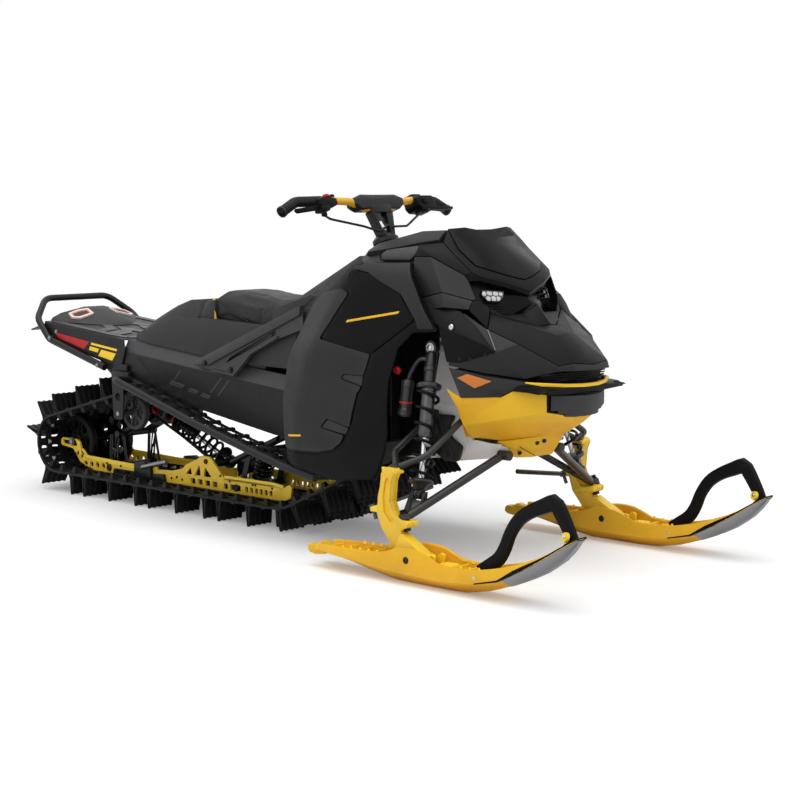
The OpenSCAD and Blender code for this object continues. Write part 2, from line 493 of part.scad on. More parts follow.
module hand_controls() place() color([0.05, 0.05, 0.055]) post_frame() difference() {
  union() {
    translate([-44, -262, bar_z - 20]) cube([52, 44, 40]);
    translate([-36, -252, bar_z + 18]) cube([22, 22, 18]);
    translate([-6, -300, bar_z - 28]) cube([12, 90, 12]);
    translate([-40, 214, bar_z - 22]) cube([66, 60, 46]);
    translate([18, 220, bar_z - 14]) cube([12, 130, 14]);
  }
  both() rod(bar_pts[3], bar_pts[2], bar_d / 2 + e);
}
module cable(p) bent(p, 4);
module control_cables() place() color([0.03, 0.03, 0.035]) post_frame() {
  cable([[-36, -215.2, bar_z - 12], [-32, -196, bar_z - 26], [14, -100, bar_z - 68], [30, -50, bar_z - 92], [36, -20, 40]]);
  cable([[4, 211, bar_z - 10], [12, 190, bar_z - 24], [28, 90, bar_z - 74], [36, 20, 40]]);
}

// left spindle: studs on the kingpin axis, a blade behind it and a foot on the ski bolt
module spindle() {
  kingpin() {
    translate([0, 0, -26]) cylinder(r = stud_d / 2, h = 38);
    translate([0, 0, -26]) cylinder(r = lug_r, h = 14.5);
    translate([0, 0, kl - 26]) cylinder(r = stud_d / 2, h = 38);
    translate([0, 0, kl - 26]) cylinder(r = lug_r, h = 14.5);
  }
  kp_blade();
  foot();
}
module kp_blade() difference() {
  union() {
    kingpin() translate([0, 0, 0]) {
      side([[6, kl - 26], [6, kl - 11.5], [-30, kl - 11.5], [-64, kl - 60], [-66, 40], [-30, -26], [6, -26], [6, -13], [-22, -11.5], [-46, 40], [-40, kl - 70], [-24, kl - 26]], -13, 13);
      translate([-120, -12, 34]) cube([60, 24, 16]);
      translate([-116, 0, 30]) cylinder(r = 14, h = 22);
    }
  }
  tie_bore();
}
tie_local = [-116, 0];
module tie_bore() kingpin() translate([tie_local[0], tie_local[1], 20]) cylinder(r = 6 + pin_gap, h = 60);
module foot() difference() {
  hull() {
    translate(pivot) rotate([90, 0, 0]) cylinder(r = 24, h = 40, center = true);
    translate([-100, st - 20, 118]) cube([46, 40, 20]);
    translate([-64, st - 22, 146]) cube([20, 26, 18]);
  }
  translate(pivot) rotate([90, 0, 0]) cylinder(r = ski_bolt_d / 2 + pin_gap, h = 60, center = true);
}
module spindle_left() place() color([0.95, 0.66, 0.03]) spindle();
module spindle_right() place() color([0.95, 0.66, 0.03]) mirror([0, 1, 0]) spindle();

// tie rod: a pin in the spindle's arm, and the rod to the steering gear
module tie_rod() kingpin() {
  translate([tie_local[0], tie_local[1], 26]) cylinder(r = 6, h = 46);
  translate([tie_local[0], tie_local[1], 52 + e]) cylinder(r = 13, h = 18);
  rod([tie_local[0], -8, 62], [tie_local[0] + 24, -250, 112], 8);
}
module tie_rod_left() place() color([0.6, 0.61, 0.62]) tie_rod();
module tie_rod_right() place() color([0.6, 0.61, 0.62]) mirror([0, 1, 0]) tie_rod();

// left ski
hw = ski_width / 2;
ski_side = [[-ski_tail, 54], [-ski_tail + 20, 72], [-288, 82], [-130, 84], [-60, 112], [50, 112], [110, 84], [215, 80], [360, 108], [ski_front - 22, 182],
  [ski_front - 6, 212], [ski_front, 208], [ski_front - 4, 184], [ski_front - 45, 146], [470, 90], [380, 50], [290, 20], [200, 3], [150, 0], [-60, 0], [-150, 10], [-300, 34]];
module ski_body() difference() {
  intersection() {
    side(ski_side, st - hw, st + hw);
    plan([[-ski_tail, st - hw * 0.6], [-ski_tail + 160, st - hw], [300, st - hw], [480, st - hw * 0.86], [ski_front, st - hw * 0.5],
      [ski_front, st + hw * 0.5], [480, st + hw * 0.86], [300, st + hw], [-ski_tail + 160, st + hw], [-ski_tail, st + hw * 0.6]], -1, 400);
  }
  side([[-160, 46], [-190, 150], [190, 150], [150, 46], [40, 36], [-60, 36]], st - 26, st + 26);
  for (x = [-100, 100]) translate([x, st, -1]) cylinder(r = 4, h = 60);
}
module ski() {
  ski_body();
  translate(pivot) rotate([90, 0, 0]) cylinder(r = ski_bolt_d / 2, h = 2 * hw - 4, center = true);
}
loop_out = [[214, 70], [262, 108], [300, 196], [342, 262], [400, 304], [486, 318], [520, 306], [566, 232], [590, 212], [572, 176], [528, 240], [492, 280], [478, 286], [414, 276], [366, 240], [332, 186], [300, 110], [262, 66]];
module ski_loop() difference() {
  side(loop_out, st - 14, st + 14);
  ski_body();
}
module ski_left() place() color([0.95, 0.66, 0.03]) ski();
module ski_right() place() color([0.95, 0.66, 0.03]) mirror([0, 1, 0]) ski();
module ski_loop_left() place() color([0.04, 0.04, 0.045]) ski_loop();
module ski_loop_right() place() color([0.04, 0.04, 0.045]) mirror([0, 1, 0]) ski_loop();

// left side panel
module side_panel() intersection() {
  side([[-698, 284], [-724, 479], [-712, 657], [-662, 796], [-550, 851], [-506, 898], [-463, 922], [-247, 926], [-196, 862], [-196, 740], [-224, 672], [-252, 571], [-256, 423], [-287, 262], [-478, 246]], 200, 500);
  front([[panel_half, 230], [panel_half, 480], [panel_half - 20, 650], [panel_half - 42, 730], [panel_half - 70, 850], [panel_half - 88, 900], [panel_half - 130, 940],
    [panel_half - 130 - panel_wall, 932], [panel_half - 88 - panel_wall, 894], [panel_half - 70 - panel_wall, 848], [panel_half - 42 - panel_wall, 727], [panel_half - 20 - panel_wall, 648], [panel_half - panel_wall, 478], [panel_half - panel_wall, 230]], -800, -100);
}
module side_panel_left() place() color([0.07, 0.07, 0.075]) side_panel();
module side_panel_right() place() color([0.07, 0.07, 0.075]) mirror([0, 1, 0]) side_panel();

tunnel();
running_boards();
rear_bumper();
tail_pod();
tail_lights();
snow_flap();
seat_base();
seat_pad();
knee_panels();
support_braces();
console();
hood();
windshield();
headlights();
belly_pan();
front_bumper();
grille();
front_frame();
engine();
lower_arms();
upper_arms();
front_shocks();
front_springs();
track();
slide_rails();
rear_idlers();
upper_idlers();
drive_axle();
rear_arm();
front_arm();
skid_shocks();
skid_springs();
side_panel_right();
side_panel_left();
steering_post();
handlebar();
bar_pad();
hand_controls();
control_cables();
spindle_right();
spindle_left();
tie_rod_right();
tie_rod_left();
ski_right();
ski_left();
ski_loop_right();
ski_loop_left();
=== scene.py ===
import json
import math

import bmesh
import bpy
from mathutils import Matrix, Vector


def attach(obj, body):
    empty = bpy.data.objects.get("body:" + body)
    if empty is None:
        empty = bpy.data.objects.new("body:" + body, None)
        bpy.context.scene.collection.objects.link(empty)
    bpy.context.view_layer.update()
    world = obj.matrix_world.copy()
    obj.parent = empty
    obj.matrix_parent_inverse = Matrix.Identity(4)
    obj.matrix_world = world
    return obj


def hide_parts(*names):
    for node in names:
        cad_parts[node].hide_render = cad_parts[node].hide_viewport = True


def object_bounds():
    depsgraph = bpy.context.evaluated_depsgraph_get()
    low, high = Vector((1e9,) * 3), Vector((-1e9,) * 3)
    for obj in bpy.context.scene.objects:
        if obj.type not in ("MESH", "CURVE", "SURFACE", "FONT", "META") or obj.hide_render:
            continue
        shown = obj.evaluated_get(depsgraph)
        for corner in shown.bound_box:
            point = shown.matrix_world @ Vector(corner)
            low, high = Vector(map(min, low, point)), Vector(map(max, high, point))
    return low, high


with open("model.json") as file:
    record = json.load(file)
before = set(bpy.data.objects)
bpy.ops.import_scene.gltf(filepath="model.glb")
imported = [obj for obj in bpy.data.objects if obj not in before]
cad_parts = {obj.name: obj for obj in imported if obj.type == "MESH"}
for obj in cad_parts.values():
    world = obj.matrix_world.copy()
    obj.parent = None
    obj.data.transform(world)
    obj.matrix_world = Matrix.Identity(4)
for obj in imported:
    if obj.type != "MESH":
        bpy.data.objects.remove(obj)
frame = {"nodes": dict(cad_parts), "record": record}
CAD_LOW, CAD_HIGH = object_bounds()

# ---------------------------------------------------------------- places
# Sled sizes are in millimetres from the ski bolts: x forward, y to the left, z up from the snow.
SKI_FRONT = 599
NOSE = CAD_HIGH.x - SKI_FRONT / 1000
STANCE = 475                     # ski centre to the middle of the sled
ZB = 83                          # top of the belt's lower run


def at(x, y, z):
    """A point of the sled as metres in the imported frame."""
    return Vector((NOSE + x / 1000, y / 1000, z / 1000))


def mm(value):
    return value / 1000


# ---------------------------------------------------------------- camera
def make_camera():
    data = bpy.data.cameras.new("camera")
    data.lens = 82.12
    data.sensor_width = 36
    data.clip_end = 100
    camera = bpy.data.objects.new("camera", data)
    bpy.context.scene.collection.objects.link(camera)
    azimuth = math.radians(43.05)
    elevation = math.radians(6.42)
    back = Vector((math.sin(azimuth) * math.cos(elevation),
                   -math.cos(azimuth) * math.cos(elevation), math.sin(elevation)))
    camera.location = at(3570, -4380, 1139)
    camera.rotation_mode = "QUATERNION"
    camera.rotation_quaternion = (-back).to_track_quat("-Z", "Y")
    bpy.context.scene.camera = camera


make_camera()
bpy.context.scene.view_settings.view_transform = "Standard"


# ---------------------------------------------------------------- light and floor
def softbox(name, place, aim, size, power):
    data = bpy.data.lights.new(name, "AREA")
    data.shape = "RECTANGLE"
    data.size, data.size_y = size
    data.energy = power
    lamp = bpy.data.objects.new(name, data)
    lamp.location = place
    lamp.rotation_euler = (Vector(aim) - Vector(place)).to_track_quat("-Z", "Y").to_euler()
    bpy.context.scene.collection.objects.link(lamp)
    return lamp


def studio_world():
    """White where it is seen or mirrored, and a softer fill for everything else."""
    world = bpy.data.worlds.new("studio")
    world.use_nodes = True
    bpy.context.scene.world = world
    nodes, links = world.node_tree.nodes, world.node_tree.links
    nodes.clear()
    path = nodes.new("ShaderNodeLightPath")
    seen = nodes.new("ShaderNodeMath")
    seen.operation = "MAXIMUM"
    links.new(path.outputs["Is Camera Ray"], seen.inputs[0])
    links.new(path.outputs["Is Glossy Ray"], seen.inputs[1])
    any_ray = nodes.new("ShaderNodeMath")
    any_ray.operation = "MAXIMUM"
    links.new(seen.outputs[0], any_ray.inputs[0])
    links.new(path.outputs["Is Transmission Ray"], any_ray.inputs[1])
    fill = nodes.new("ShaderNodeBackground")
    fill.inputs["Color"].default_value = (1, 1, 1, 1)
    fill.inputs["Strength"].default_value = 0.50
    white = nodes.new("ShaderNodeBackground")
    white.inputs["Color"].default_value = (1, 1, 1, 1)
    white.inputs["Strength"].default_value = 1.0
    mix = nodes.new("ShaderNodeMixShader")
    links.new(any_ray.outputs[0], mix.inputs[0])
    links.new(fill.outputs[0], mix.inputs[1])
    links.new(white.outputs[0], mix.inputs[2])
    out = nodes.new("ShaderNodeOutputWorld")
    links.new(mix.outputs[0], out.inputs["Surface"])


def studio_floor():
    """A pale floor: matt white that keeps the sled's shadow, lifted a little where it is seen."""
    bm = bmesh.new()
    bmesh.ops.create_grid(bm, x_segments=1, y_segments=1, size=60)
    mesh = bpy.data.meshes.new("floor")
    bm.to_mesh(mesh)
    bm.free()
    floor = bpy.data.objects.new("floor", mesh)
    bpy.context.scene.collection.objects.link(floor)
    floor.location.z = -0.0005
    material = bpy.data.materials.new("pale_floor")
    material.use_nodes = True
    nodes, links = material.node_tree.nodes, material.node_tree.links
    nodes.clear()
    matt = nodes.new("ShaderNodeBsdfDiffuse")
    matt.inputs["Color"].default_value = (0.86, 0.86, 0.86, 1)
    glow = nodes.new("ShaderNodeEmission")
    path = nodes.new("ShaderNodeLightPath")
    lift = nodes.new("ShaderNodeMath")
    lift.operation = "MULTIPLY"
    lift.inputs[1].default_value = 0.18
    links.new(path.outputs["Is Camera Ray"], lift.inputs[0])
    links.new(lift.outputs[0], glow.inputs["Strength"])
    both = nodes.new("ShaderNodeAddShader")
    links.new(matt.outputs[0], both.inputs[0])
    links.new(glow.outputs[0], both.inputs[1])
    out = nodes.new("ShaderNodeOutputMaterial")
    links.new(both.outputs[0], out.inputs["Surface"])
    mesh.materials.append(material)


def skylight(angle, strength):
    """A very wide sun from above the right side: even light with a soft shadow."""
    data = bpy.data.lights.new("skylight", "SUN")
    data.energy = strength
    data.angle = math.radians(angle)
    lamp = bpy.data.objects.new("skylight", data)
    lamp.rotation_euler = (math.radians(12), math.radians(8), 0)
    bpy.context.scene.collection.objects.link(lamp)


studio_world()
studio_floor()
skylight(70, 1.6)
softbox("overhead", (-0.6, -0.4, 4.2), (-0.4, 0, 0.5), (3.5, 2.4), 15)
softbox("right_side", (0.8, -4.6, 2.6), (0, 0, 0.5), (3.5, 1.6), 22)
softbox("front_side", (4.5, 1.2, 2.6), (0.4, 0, 0.5), (2.0, 1.6), 9)


# ---------------------------------------------------------------- finishes
def srgb(red, green, blue):
    """A colour given from 0 to 255 as it looks, turned linear for the shader."""
    return tuple(((c / 255 + 0.055) / 1.055) ** 2.4 if c > 10 else c / 255 / 12.92
                 for c in (red, green, blue))


class Finish:
    """A procedural material: a Principled shader and the textures that feed it."""

    def __init__(self, name, roughness=0.5, **sockets):
        self.material = bpy.data.materials.new(name)
        self.material.use_nodes = True
        self.nodes = self.material.node_tree.nodes
        self.links = self.material.node_tree.links
        self.shader = self.nodes["Principled BSDF"]
        self.shader.inputs["Roughness"].default_value = roughness
        for socket, value in sockets.items():
            self.shader.inputs[socket.replace("_", " ")].default_value = value
        self.place = self.nodes.new("ShaderNodeTexCoord").outputs["Object"]
        self.bump_from = None

    def noise(self, scale, detail=3.0, rough=0.5, stretch=None):
        texture = self.nodes.new("ShaderNodeTexNoise")
        texture.inputs["Scale"].default_value = scale
        texture.inputs["Detail"].default_value = detail
        texture.inputs["Roughness"].default_value = rough
        self.links.new(self.mapped(stretch), texture.inputs["Vector"])
        return texture.outputs["Fac"]

    def mapped(self, stretch=None, turn=None):
        if stretch is None and turn is None:
            return self.place
        mapping = self.nodes.new("ShaderNodeMapping")
        if stretch is not None:
            mapping.inputs["Scale"].default_value = stretch
        if turn is not None:
            mapping.inputs["Rotation"].default_value = turn
        self.links.new(self.place, mapping.inputs["Vector"])
        return mapping.outputs["Vector"]

    def cells(self, scale, stretch=None):
        texture = self.nodes.new("ShaderNodeTexVoronoi")
        texture.inputs["Scale"].default_value = scale
        self.links.new(self.mapped(stretch), texture.inputs["Vector"])
        return texture.outputs["Distance"]

    def ramp(self, value, *stops):
        """Colours along value: stops are (place, colour) pairs."""
        ramp = self.nodes.new("ShaderNodeValToRGB")
        self.links.new(value, ramp.inputs["Fac"])
        elements = ramp.color_ramp.elements
        while len(elements) < len(stops):
            elements.new(0.5)
        for element, (place, colour) in zip(elements, stops):
            element.position = place
            element.color = (*colour, 1)
        return ramp.outputs["Color"]

    def span(self, value, low, high, start=0.3, end=0.7):
        node = self.nodes.new("ShaderNodeMapRange")
        node.inputs["From Min"].default_value = start
        node.inputs["From Max"].default_value = end
        node.inputs["To Min"].default_value = low
        node.inputs["To Max"].default_value = high
        self.links.new(value, node.inputs["Value"])
        return node.outputs["Result"]

    def colour(self, value, *stops):
        self.links.new(self.ramp(value, *stops), self.shader.inputs["Base Color"])

    def rough(self, value, low, high):
        self.links.new(self.span(value, low, high), self.shader.inputs["Roughness"])

    def bump(self, height, strength, distance):
        """Each further bump lies on the one before."""
        node = self.nodes.new("ShaderNodeBump")
        node.inputs["Strength"].default_value = strength
        node.inputs["Distance"].default_value = distance
        self.links.new(height, node.inputs["Height"])
        if self.bump_from is not None:
            self.links.new(self.bump_from, node.inputs["Normal"])
        self.bump_from = node.outputs["Normal"]
        self.links.new(self.bump_from, self.shader.inputs["Normal"])

    def edge_wear(self, base, worn, start=0.52, end=0.6):
        """Base colour with a paler tone where the shape turns sharply outwards."""
        point = self.nodes.new("ShaderNodeNewGeometry").outputs["Pointiness"]
        mix = self.nodes.new("ShaderNodeMix")
        mix.data_type = "RGBA"
        self.links.new(self.span(point, 0, 1, start, end), mix.inputs["Factor"])
        self.links.new(base, mix.inputs["A"])
        mix.inputs["B"].default_value = (*worn, 1)
        self.links.new(mix.outputs["Result"], self.shader.inputs["Base Color"])


def tint(colour, factor):
    return tuple(min(1, c * factor) for c in colour)


def moulded(name, colour, roughness=0.42, gloss=0.35, grain=900, depth=0.00025):
    """Moulded plastic: fine grain, slow drift of tone, edges rubbed a little paler."""
    f = Finish(name, roughness, Specular_IOR_Level=gloss)
    drift = f.noise(6, 4, 0.6)
    tone = f.ramp(drift, (0.3, tint(colour, 0.86)), (0.7, tint(colour, 1.14)))
    f.edge_wear(tone, tint(colour, 1.7))
    f.rough(f.noise(14, 5, 0.65), roughness - 0.06, roughness + 0.08)
    f.bump(f.noise(grain, 2), 0.35, depth)
    return f.material


def coated(name, colour, roughness=0.38, gloss=0.5):
    """Powder coat on metal: orange-peel bump and a thin clear coat."""
    f = Finish(name, roughness, Specular_IOR_Level=gloss, Coat_Weight=0.15, Coat_Roughness=0.25)
    tone = f.ramp(f.noise(9, 4, 0.6), (0.3, tint(colour, 0.93)), (0.7, tint(colour, 1.06)))
    f.edge_wear(tone, tint(colour, 1.35))
    f.rough(f.noise(25, 4), roughness - 0.05, roughness + 0.08)
    f.bump(f.noise(420, 2), 0.25, 0.0003)
    return f.material


def metal(name, colour, roughness=0.35, brushed=None, cast=False):
    f = Finish(name, roughness, Metallic=1.0)
    grain = f.noise(160, 5, 0.6, brushed) if brushed else f.noise(60, 5, 0.6)
    f.colour(grain, (0.3, tint(colour, 0.8)), (0.7, tint(colour, 1.1)))
    f.rough(grain, roughness - 0.08, roughness + 0.12)
    if cast:
        f.bump(f.noise(300, 4, 0.6), 0.4, 0.0006)
    else:
        f.bump(grain, 0.15, 0.0002)
    return f.material


def rubber(name, colour, roughness=0.62):
    f = Finish(name, roughness, Specular_IOR_Level=0.3)
    dust = f.noise(11, 6, 0.7)
    tone = f.ramp(dust, (0.35, colour), (0.75, tint(colour, 1.7)))
    f.edge_wear(tone, tint(colour, 2.6))
    f.rough(dust, roughness - 0.1, roughness + 0.12)
    f.bump(f.noise(700, 3), 0.4, 0.0004)
    return f.material


def lens(name, colour, roughness=0.05, transmission=0.9):
    f = Finish(name, roughness, Transmission_Weight=transmission, IOR=1.5)
    f.colour(f.noise(30, 2), (0.3, tint(colour, 0.94)), (0.7, colour))
    f.bump(f.noise(120, 1), 0.05, 0.0003)
    return f.material


# ---------------------------------------------------------------- finishes of this sled
YELLOW = srgb(228, 170, 34)
BLACK = moulded("satin_black", srgb(13, 13, 14), 0.42, 0.1)
PANEL_BLACK = moulded("panel_black", srgb(27, 27, 28), 0.46, 0.26, 700)
GLOSS_BLACK = moulded("gloss_black", srgb(7, 7, 8), 0.26, 0.1, 500, 0.0001)
CHARCOAL = moulded("charcoal_plastic", srgb(40, 40, 42), 0.5, 0.28, 700)
YELLOW_PLASTIC = moulded("yellow_plastic", YELLOW, 0.4, 0.3, 500)
YELLOW_COAT = coated("yellow_coat", YELLOW)
YELLOW_CAST = coated("yellow_cast", srgb(236, 190, 40), 0.42)
GREY_PLASTIC = moulded("grey_plastic", srgb(120, 121, 123), 0.5, 0.3)
BLACK_COAT = coated("black_coat", srgb(9, 9, 10), 0.42, 0.24)
TUNNEL_COAT = coated("tunnel_coat", srgb(18, 18, 20), 0.52, 0.22)
# pale grey for a line along each cheek's edge: a painted highlight, not a part of the hood
CHEEK_HIGHLIGHT_GREY = coated("painted_cheek_highlight", srgb(110, 112, 114), 0.4, 0.4)
ARM_GREY = coated("arm_grey", srgb(26, 25, 24), 0.38, 0.4)
DAMPER_GREY = coated("damper_grey", srgb(30, 30, 31), 0.34, 0.45)
# a paler grey coat: on the tunnel's bevels and slanting strips it is painted sheen; pads, chevrons and braces also use
# it
TUNNEL_PALE = coated("tunnel_pale", srgb(46, 46, 48), 0.46, 0.34)
SEAT_GREY = moulded("seat_shell_grey", srgb(34, 34, 36), 0.5, 0.28, 900)
PALE_EDGE_LENS = moulded("lens_rim", srgb(205, 190, 186), 0.3, 0.4)
GREY_CAST = coated("grey_cast", srgb(200, 200, 201), 0.5, 0.4)
STEEL = metal("plated_steel", srgb(205, 205, 208), 0.22, brushed=(1, 1, 8))
DULL_STEEL = metal("dull_steel", srgb(150, 151, 153), 0.34)
DARK_STEEL = metal("dark_steel", srgb(84, 84, 86), 0.3)
DARK_DISC = moulded("dark_disc", srgb(48, 48, 50), 0.55, 0.25)
TRACK_RUBBER = rubber("track_rubber", srgb(11, 11, 12))
SOFT_RUBBER = rubber("soft_rubber", srgb(12, 12, 13), 0.5)
SCREEN = moulded("smoked_screen", srgb(12, 12, 13), 0.22, 0.09, 60, 0.00005)
CLEAR = lens("clear_lens", (0.95, 0.96, 0.97), 0.03, 0.95)
RED = moulded("red_plastic", srgb(150, 24, 24), 0.36, 0.3)
RED_LENS = moulded("red_lens", srgb(214, 96, 66), 0.2, 0.45)
AMBER = lens("amber_lens", srgb(232, 138, 40), 0.18, 0.25)
ORANGE = moulded("orange_strap", srgb(235, 150, 40), 0.5, 0.3, 900)
PALE_LED = moulded("led_facets", srgb(225, 228, 232), 0.25, 0.5, 200)
VINYL = moulded("seat_vinyl", srgb(30, 30, 31), 0.5, 0.3, 1200, 0.0003)
ENGINE = metal("engine_grey", srgb(70, 70, 72), 0.5, cast=True)


# ---------------------------------------------------------------- making shapes
# A shape is a bmesh in sled millimetres; piece() sets it down in the frame, in metres.
TO_FRAME = Matrix.Translation((NOSE, 0, 0)) @ Matrix.Diagonal((0.001, 0.001, 0.001, 1))
ALONG = {"x": Vector((1, 0, 0)), "y": Vector((0, 1, 0)), "z": Vector((0, 0, 1))}


def piece(shape, name, finish, body="chassis", hides=(), smooth=32):
    """Joins what touches, turns faces outwards, shades by angle and rides on its body."""
    bmesh.ops.remove_doubles(shape, verts=shape.verts, dist=0.02)
    bmesh.ops.recalc_face_normals(shape, faces=shape.faces)
    bmesh.ops.transform(shape, matrix=TO_FRAME, verts=shape.verts)
    for face in shape.faces:
        face.smooth = True
    for edge in shape.edges:
        edge.smooth = len(edge.link_faces) == 2 and edge.calc_face_angle() < math.radians(smooth)
    mesh = bpy.data.meshes.new(name)
    shape.to_mesh(mesh)
    shape.free()
    mesh.materials.append(finish)
    thing = bpy.data.objects.new(name, mesh)
    bpy.context.scene.collection.objects.link(thing)
    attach(thing, body)
    if hides:
        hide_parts(*hides)
    return thing


def joined(*shapes):
    whole = bmesh.new()
    for shape in shapes:
        mesh = bpy.data.meshes.new("part")
        shape.to_mesh(mesh)
        whole.from_mesh(mesh)
        bpy.data.meshes.remove(mesh)
        shape.free()
    return whole


def copies(shape, matrices):
    """One shape at several places."""
    mesh = bpy.data.meshes.new("part")
    shape.to_mesh(mesh)
    shape.free()
    whole = bmesh.new()
    for matrix in matrices:
        start = len(whole.verts)
        whole.from_mesh(mesh)
        whole.verts.ensure_lookup_table()
        bmesh.ops.transform(whole, matrix=matrix, verts=whole.verts[start:])
    bpy.data.meshes.remove(mesh)
    return whole


def both_sides(shape):
    other = shape.copy()
    bmesh.ops.scale(other, vec=(1, -1, 1), verts=other.verts)
    bmesh.ops.reverse_faces(other, faces=other.faces)
    return joined(shape, other)


def other_side(shape):
    bmesh.ops.scale(shape, vec=(1, -1, 1), verts=shape.verts)
    bmesh.ops.reverse_faces(shape, faces=shape.faces)
    return shape


def placed(shape, matrix):
    bmesh.ops.transform(shape, matrix=matrix, verts=shape.verts)
    return shape


def moved(shape, x=0, y=0, z=0):
    return placed(shape, Matrix.Translation((x, y, z)))


def aimed(start, end, up=(0, 0, 1)):
    """A frame at start whose local z points to end, with local y as near up as it can be."""
    ahead = (Vector(end) - Vector(start)).normalized()
    across = Vector(up).cross(ahead)
    if across.length < 0.01:
        across = Vector((1, 0, 0)) if abs(ahead.x) < 0.9 else Vector((0, 1, 0))
        across = across - ahead * across.dot(ahead)
    across.normalize()
    turn = Matrix((across, ahead.cross(across), ahead)).transposed()
    return Matrix.Translation(start) @ turn.to_4x4()


def soften(shape, width, segments=1, angle=28):
    """Bevels every edge that turns by more than the angle."""
    sharp = [edge for edge in shape.edges
             if len(edge.link_faces) == 2 and edge.calc_face_angle() > math.radians(angle)]
    bmesh.ops.bevel(shape, geom=sharp, offset=width, offset_type="OFFSET", affect="EDGES",
                    segments=segments, profile=0.5, material=-1, clamp_overlap=True)
    return shape


def rounded(points, radius, steps=3, closed=True):
    """An outline or a path with its corners turned into curves."""
    points = [Vector(point) for point in points]
    result = []
    for i, corner in enumerate(points):
        if not closed and i in (0, len(points) - 1):
            result.append(corner)
            continue
        back = points[i - 1] - corner
        ahead = points[(i + 1) % len(points)] - corner
        half = max(back.angle(ahead) / 2, 0.05)
        if half > 1.52:
            result.append(corner)
            continue
        cut = min(radius / math.tan(half), 0.47 * back.length, 0.47 * ahead.length)
        start = corner + back.normalized() * cut
        end = corner + ahead.normalized() * cut
        for k in range(steps + 1):
            t = k / steps
            result.append(start.lerp(corner, t).lerp(corner.lerp(end, t), t))
    return result


def curved(points, steps=6):
    """A smooth path through its points."""
    points = [Vector(point) for point in points]
    ends = [points[0] * 2 - points[1]] + points + [points[-1] * 2 - points[-2]]
    result = []
    for a, b, c, d in zip(ends, ends[1:], ends[2:], ends[3:]):
        for k in range(steps):
            t = k / steps
            result.append(0.5 * (2 * b + (c - a) * t + (2 * a - 5 * b + 4 * c - d) * t * t
                                 + (3 * b - a - 3 * c + d) * t ** 3))
    return result + [points[-1]]


def ring_outline(radius, sides, start=0.0):
    return [(radius * math.cos(start + math.tau * k / sides), radius * math.sin(start + math.tau * k / sides))
            for k in range(sides)]


def circle_at(a, b, radius, sides=12):
    return [(a + u, b + v) for u, v in ring_outline(radius, sides)]


def plate(outline, low, high, axis="y", holes=(), edge=0.0, segments=1):
    """A flat part: an outline in (x, z) across y, in (x, y) up z, or in (y, z) along x."""
    shape = bmesh.new()
    lift = {"x": lambda a, b: (low, a, b), "y": lambda a, b: (a, low, b), "z": lambda a, b: (a, b, low)}[axis]
    rims = []
    for loop in (outline, *holes):
        verts = [shape.verts.new(lift(*point)) for point in loop]
        rims += [shape.edges.new((verts[i - 1], verts[i])) for i in range(len(verts))]
    if holes:
        bmesh.ops.triangle_fill(shape, use_beauty=True, use_dissolve=False, edges=rims)
    else:
        shape.faces.new(verts)
    grown = bmesh.ops.extrude_face_region(shape, geom=list(shape.faces))["geom"]
    bmesh.ops.translate(shape, vec=ALONG[axis] * (high - low),
                        verts=[item for item in grown if isinstance(item, bmesh.types.BMVert)])
    bmesh.ops.recalc_face_normals(shape, faces=shape.faces)
    return soften(shape, edge, segments) if edge else shape


def block(low, high, edge=0.0, segments=1):
    shape = bmesh.new()
    size = Vector(high) - Vector(low)
    bmesh.ops.create_cube(shape, size=1, matrix=Matrix.Translation(Vector(low) + size / 2) @ Matrix.Diagonal((*size, 1)))
    return soften(shape, edge, segments) if edge else shape


def hull(points, edge=0.0, segments=1):
    """The convex body through corner points."""
    shape = bmesh.new()
    for point in points:
        shape.verts.new(point)
    out = bmesh.ops.convex_hull(shape, input=list(shape.verts))
    inner = [v for v in shape.verts if not v.link_faces]
    bmesh.ops.delete(shape, geom=inner, context="VERTS")
    bmesh.ops.dissolve_limit(shape, angle_limit=math.radians(1), verts=shape.verts, edges=shape.edges)
    return soften(shape, edge, segments) if edge else shape


def sweep(path, section, up=(0, 0, 1), scale=None):
    """Carries a closed section along a path and closes both ends."""
    path = [Vector(point) for point in path]
    shape = bmesh.new()
    verts = [shape.verts.new((a, b, 0)) for a, b in section]
    edges = [shape.edges.new((verts[i - 1], verts[i])) for i in range(len(verts))]
    bmesh.ops.edgeloop_fill(shape, edges=edges)
    frame_here = Matrix()
    turn = aimed(path[0], path[1], up).to_quaternion()
    ahead = (path[1] - path[0]).normalized()
    for i, point in enumerate(path):
        tangent = (path[min(i + 1, len(path) - 1)] - path[max(i - 1, 0)]).normalized()
        turn = ahead.rotation_difference(tangent) @ turn
        ahead = tangent
        size = scale[i] if scale else 1
        stop = Matrix.Translation(point) @ turn.to_matrix().to_4x4() @ Matrix.Diagonal((size, size, 1, 1))
        if i:
            grown = bmesh.ops.extrude_edge_only(shape, edges=edges)["geom"]
            verts = [item for item in grown if isinstance(item, bmesh.types.BMVert)]
            edges = [item for item in grown if isinstance(item, bmesh.types.BMEdge)]
        bmesh.ops.transform(shape, matrix=stop @ frame_here.inverted(), verts=verts)
        frame_here = stop
    bmesh.ops.edgeloop_fill(shape, edges=edges)
    bmesh.ops.recalc_face_normals(shape, faces=shape.faces)
    return shape


def tube(path, radius, sides=12, up=(0, 0, 1), scale=None):
    return sweep(path, ring_outline(radius, sides), up, scale)


def bar(start, end, radius, sides=16, edge=0.0):
    shape = tube([start, end], radius, sides)
    return soften(shape, edge) if edge else shape


def across(x, z, radius, low, high, sides=20, edge=0.0):
    """A round bar that runs across the sled."""
    return bar((x, low, z), (x, high, z), radius, sides, edge)


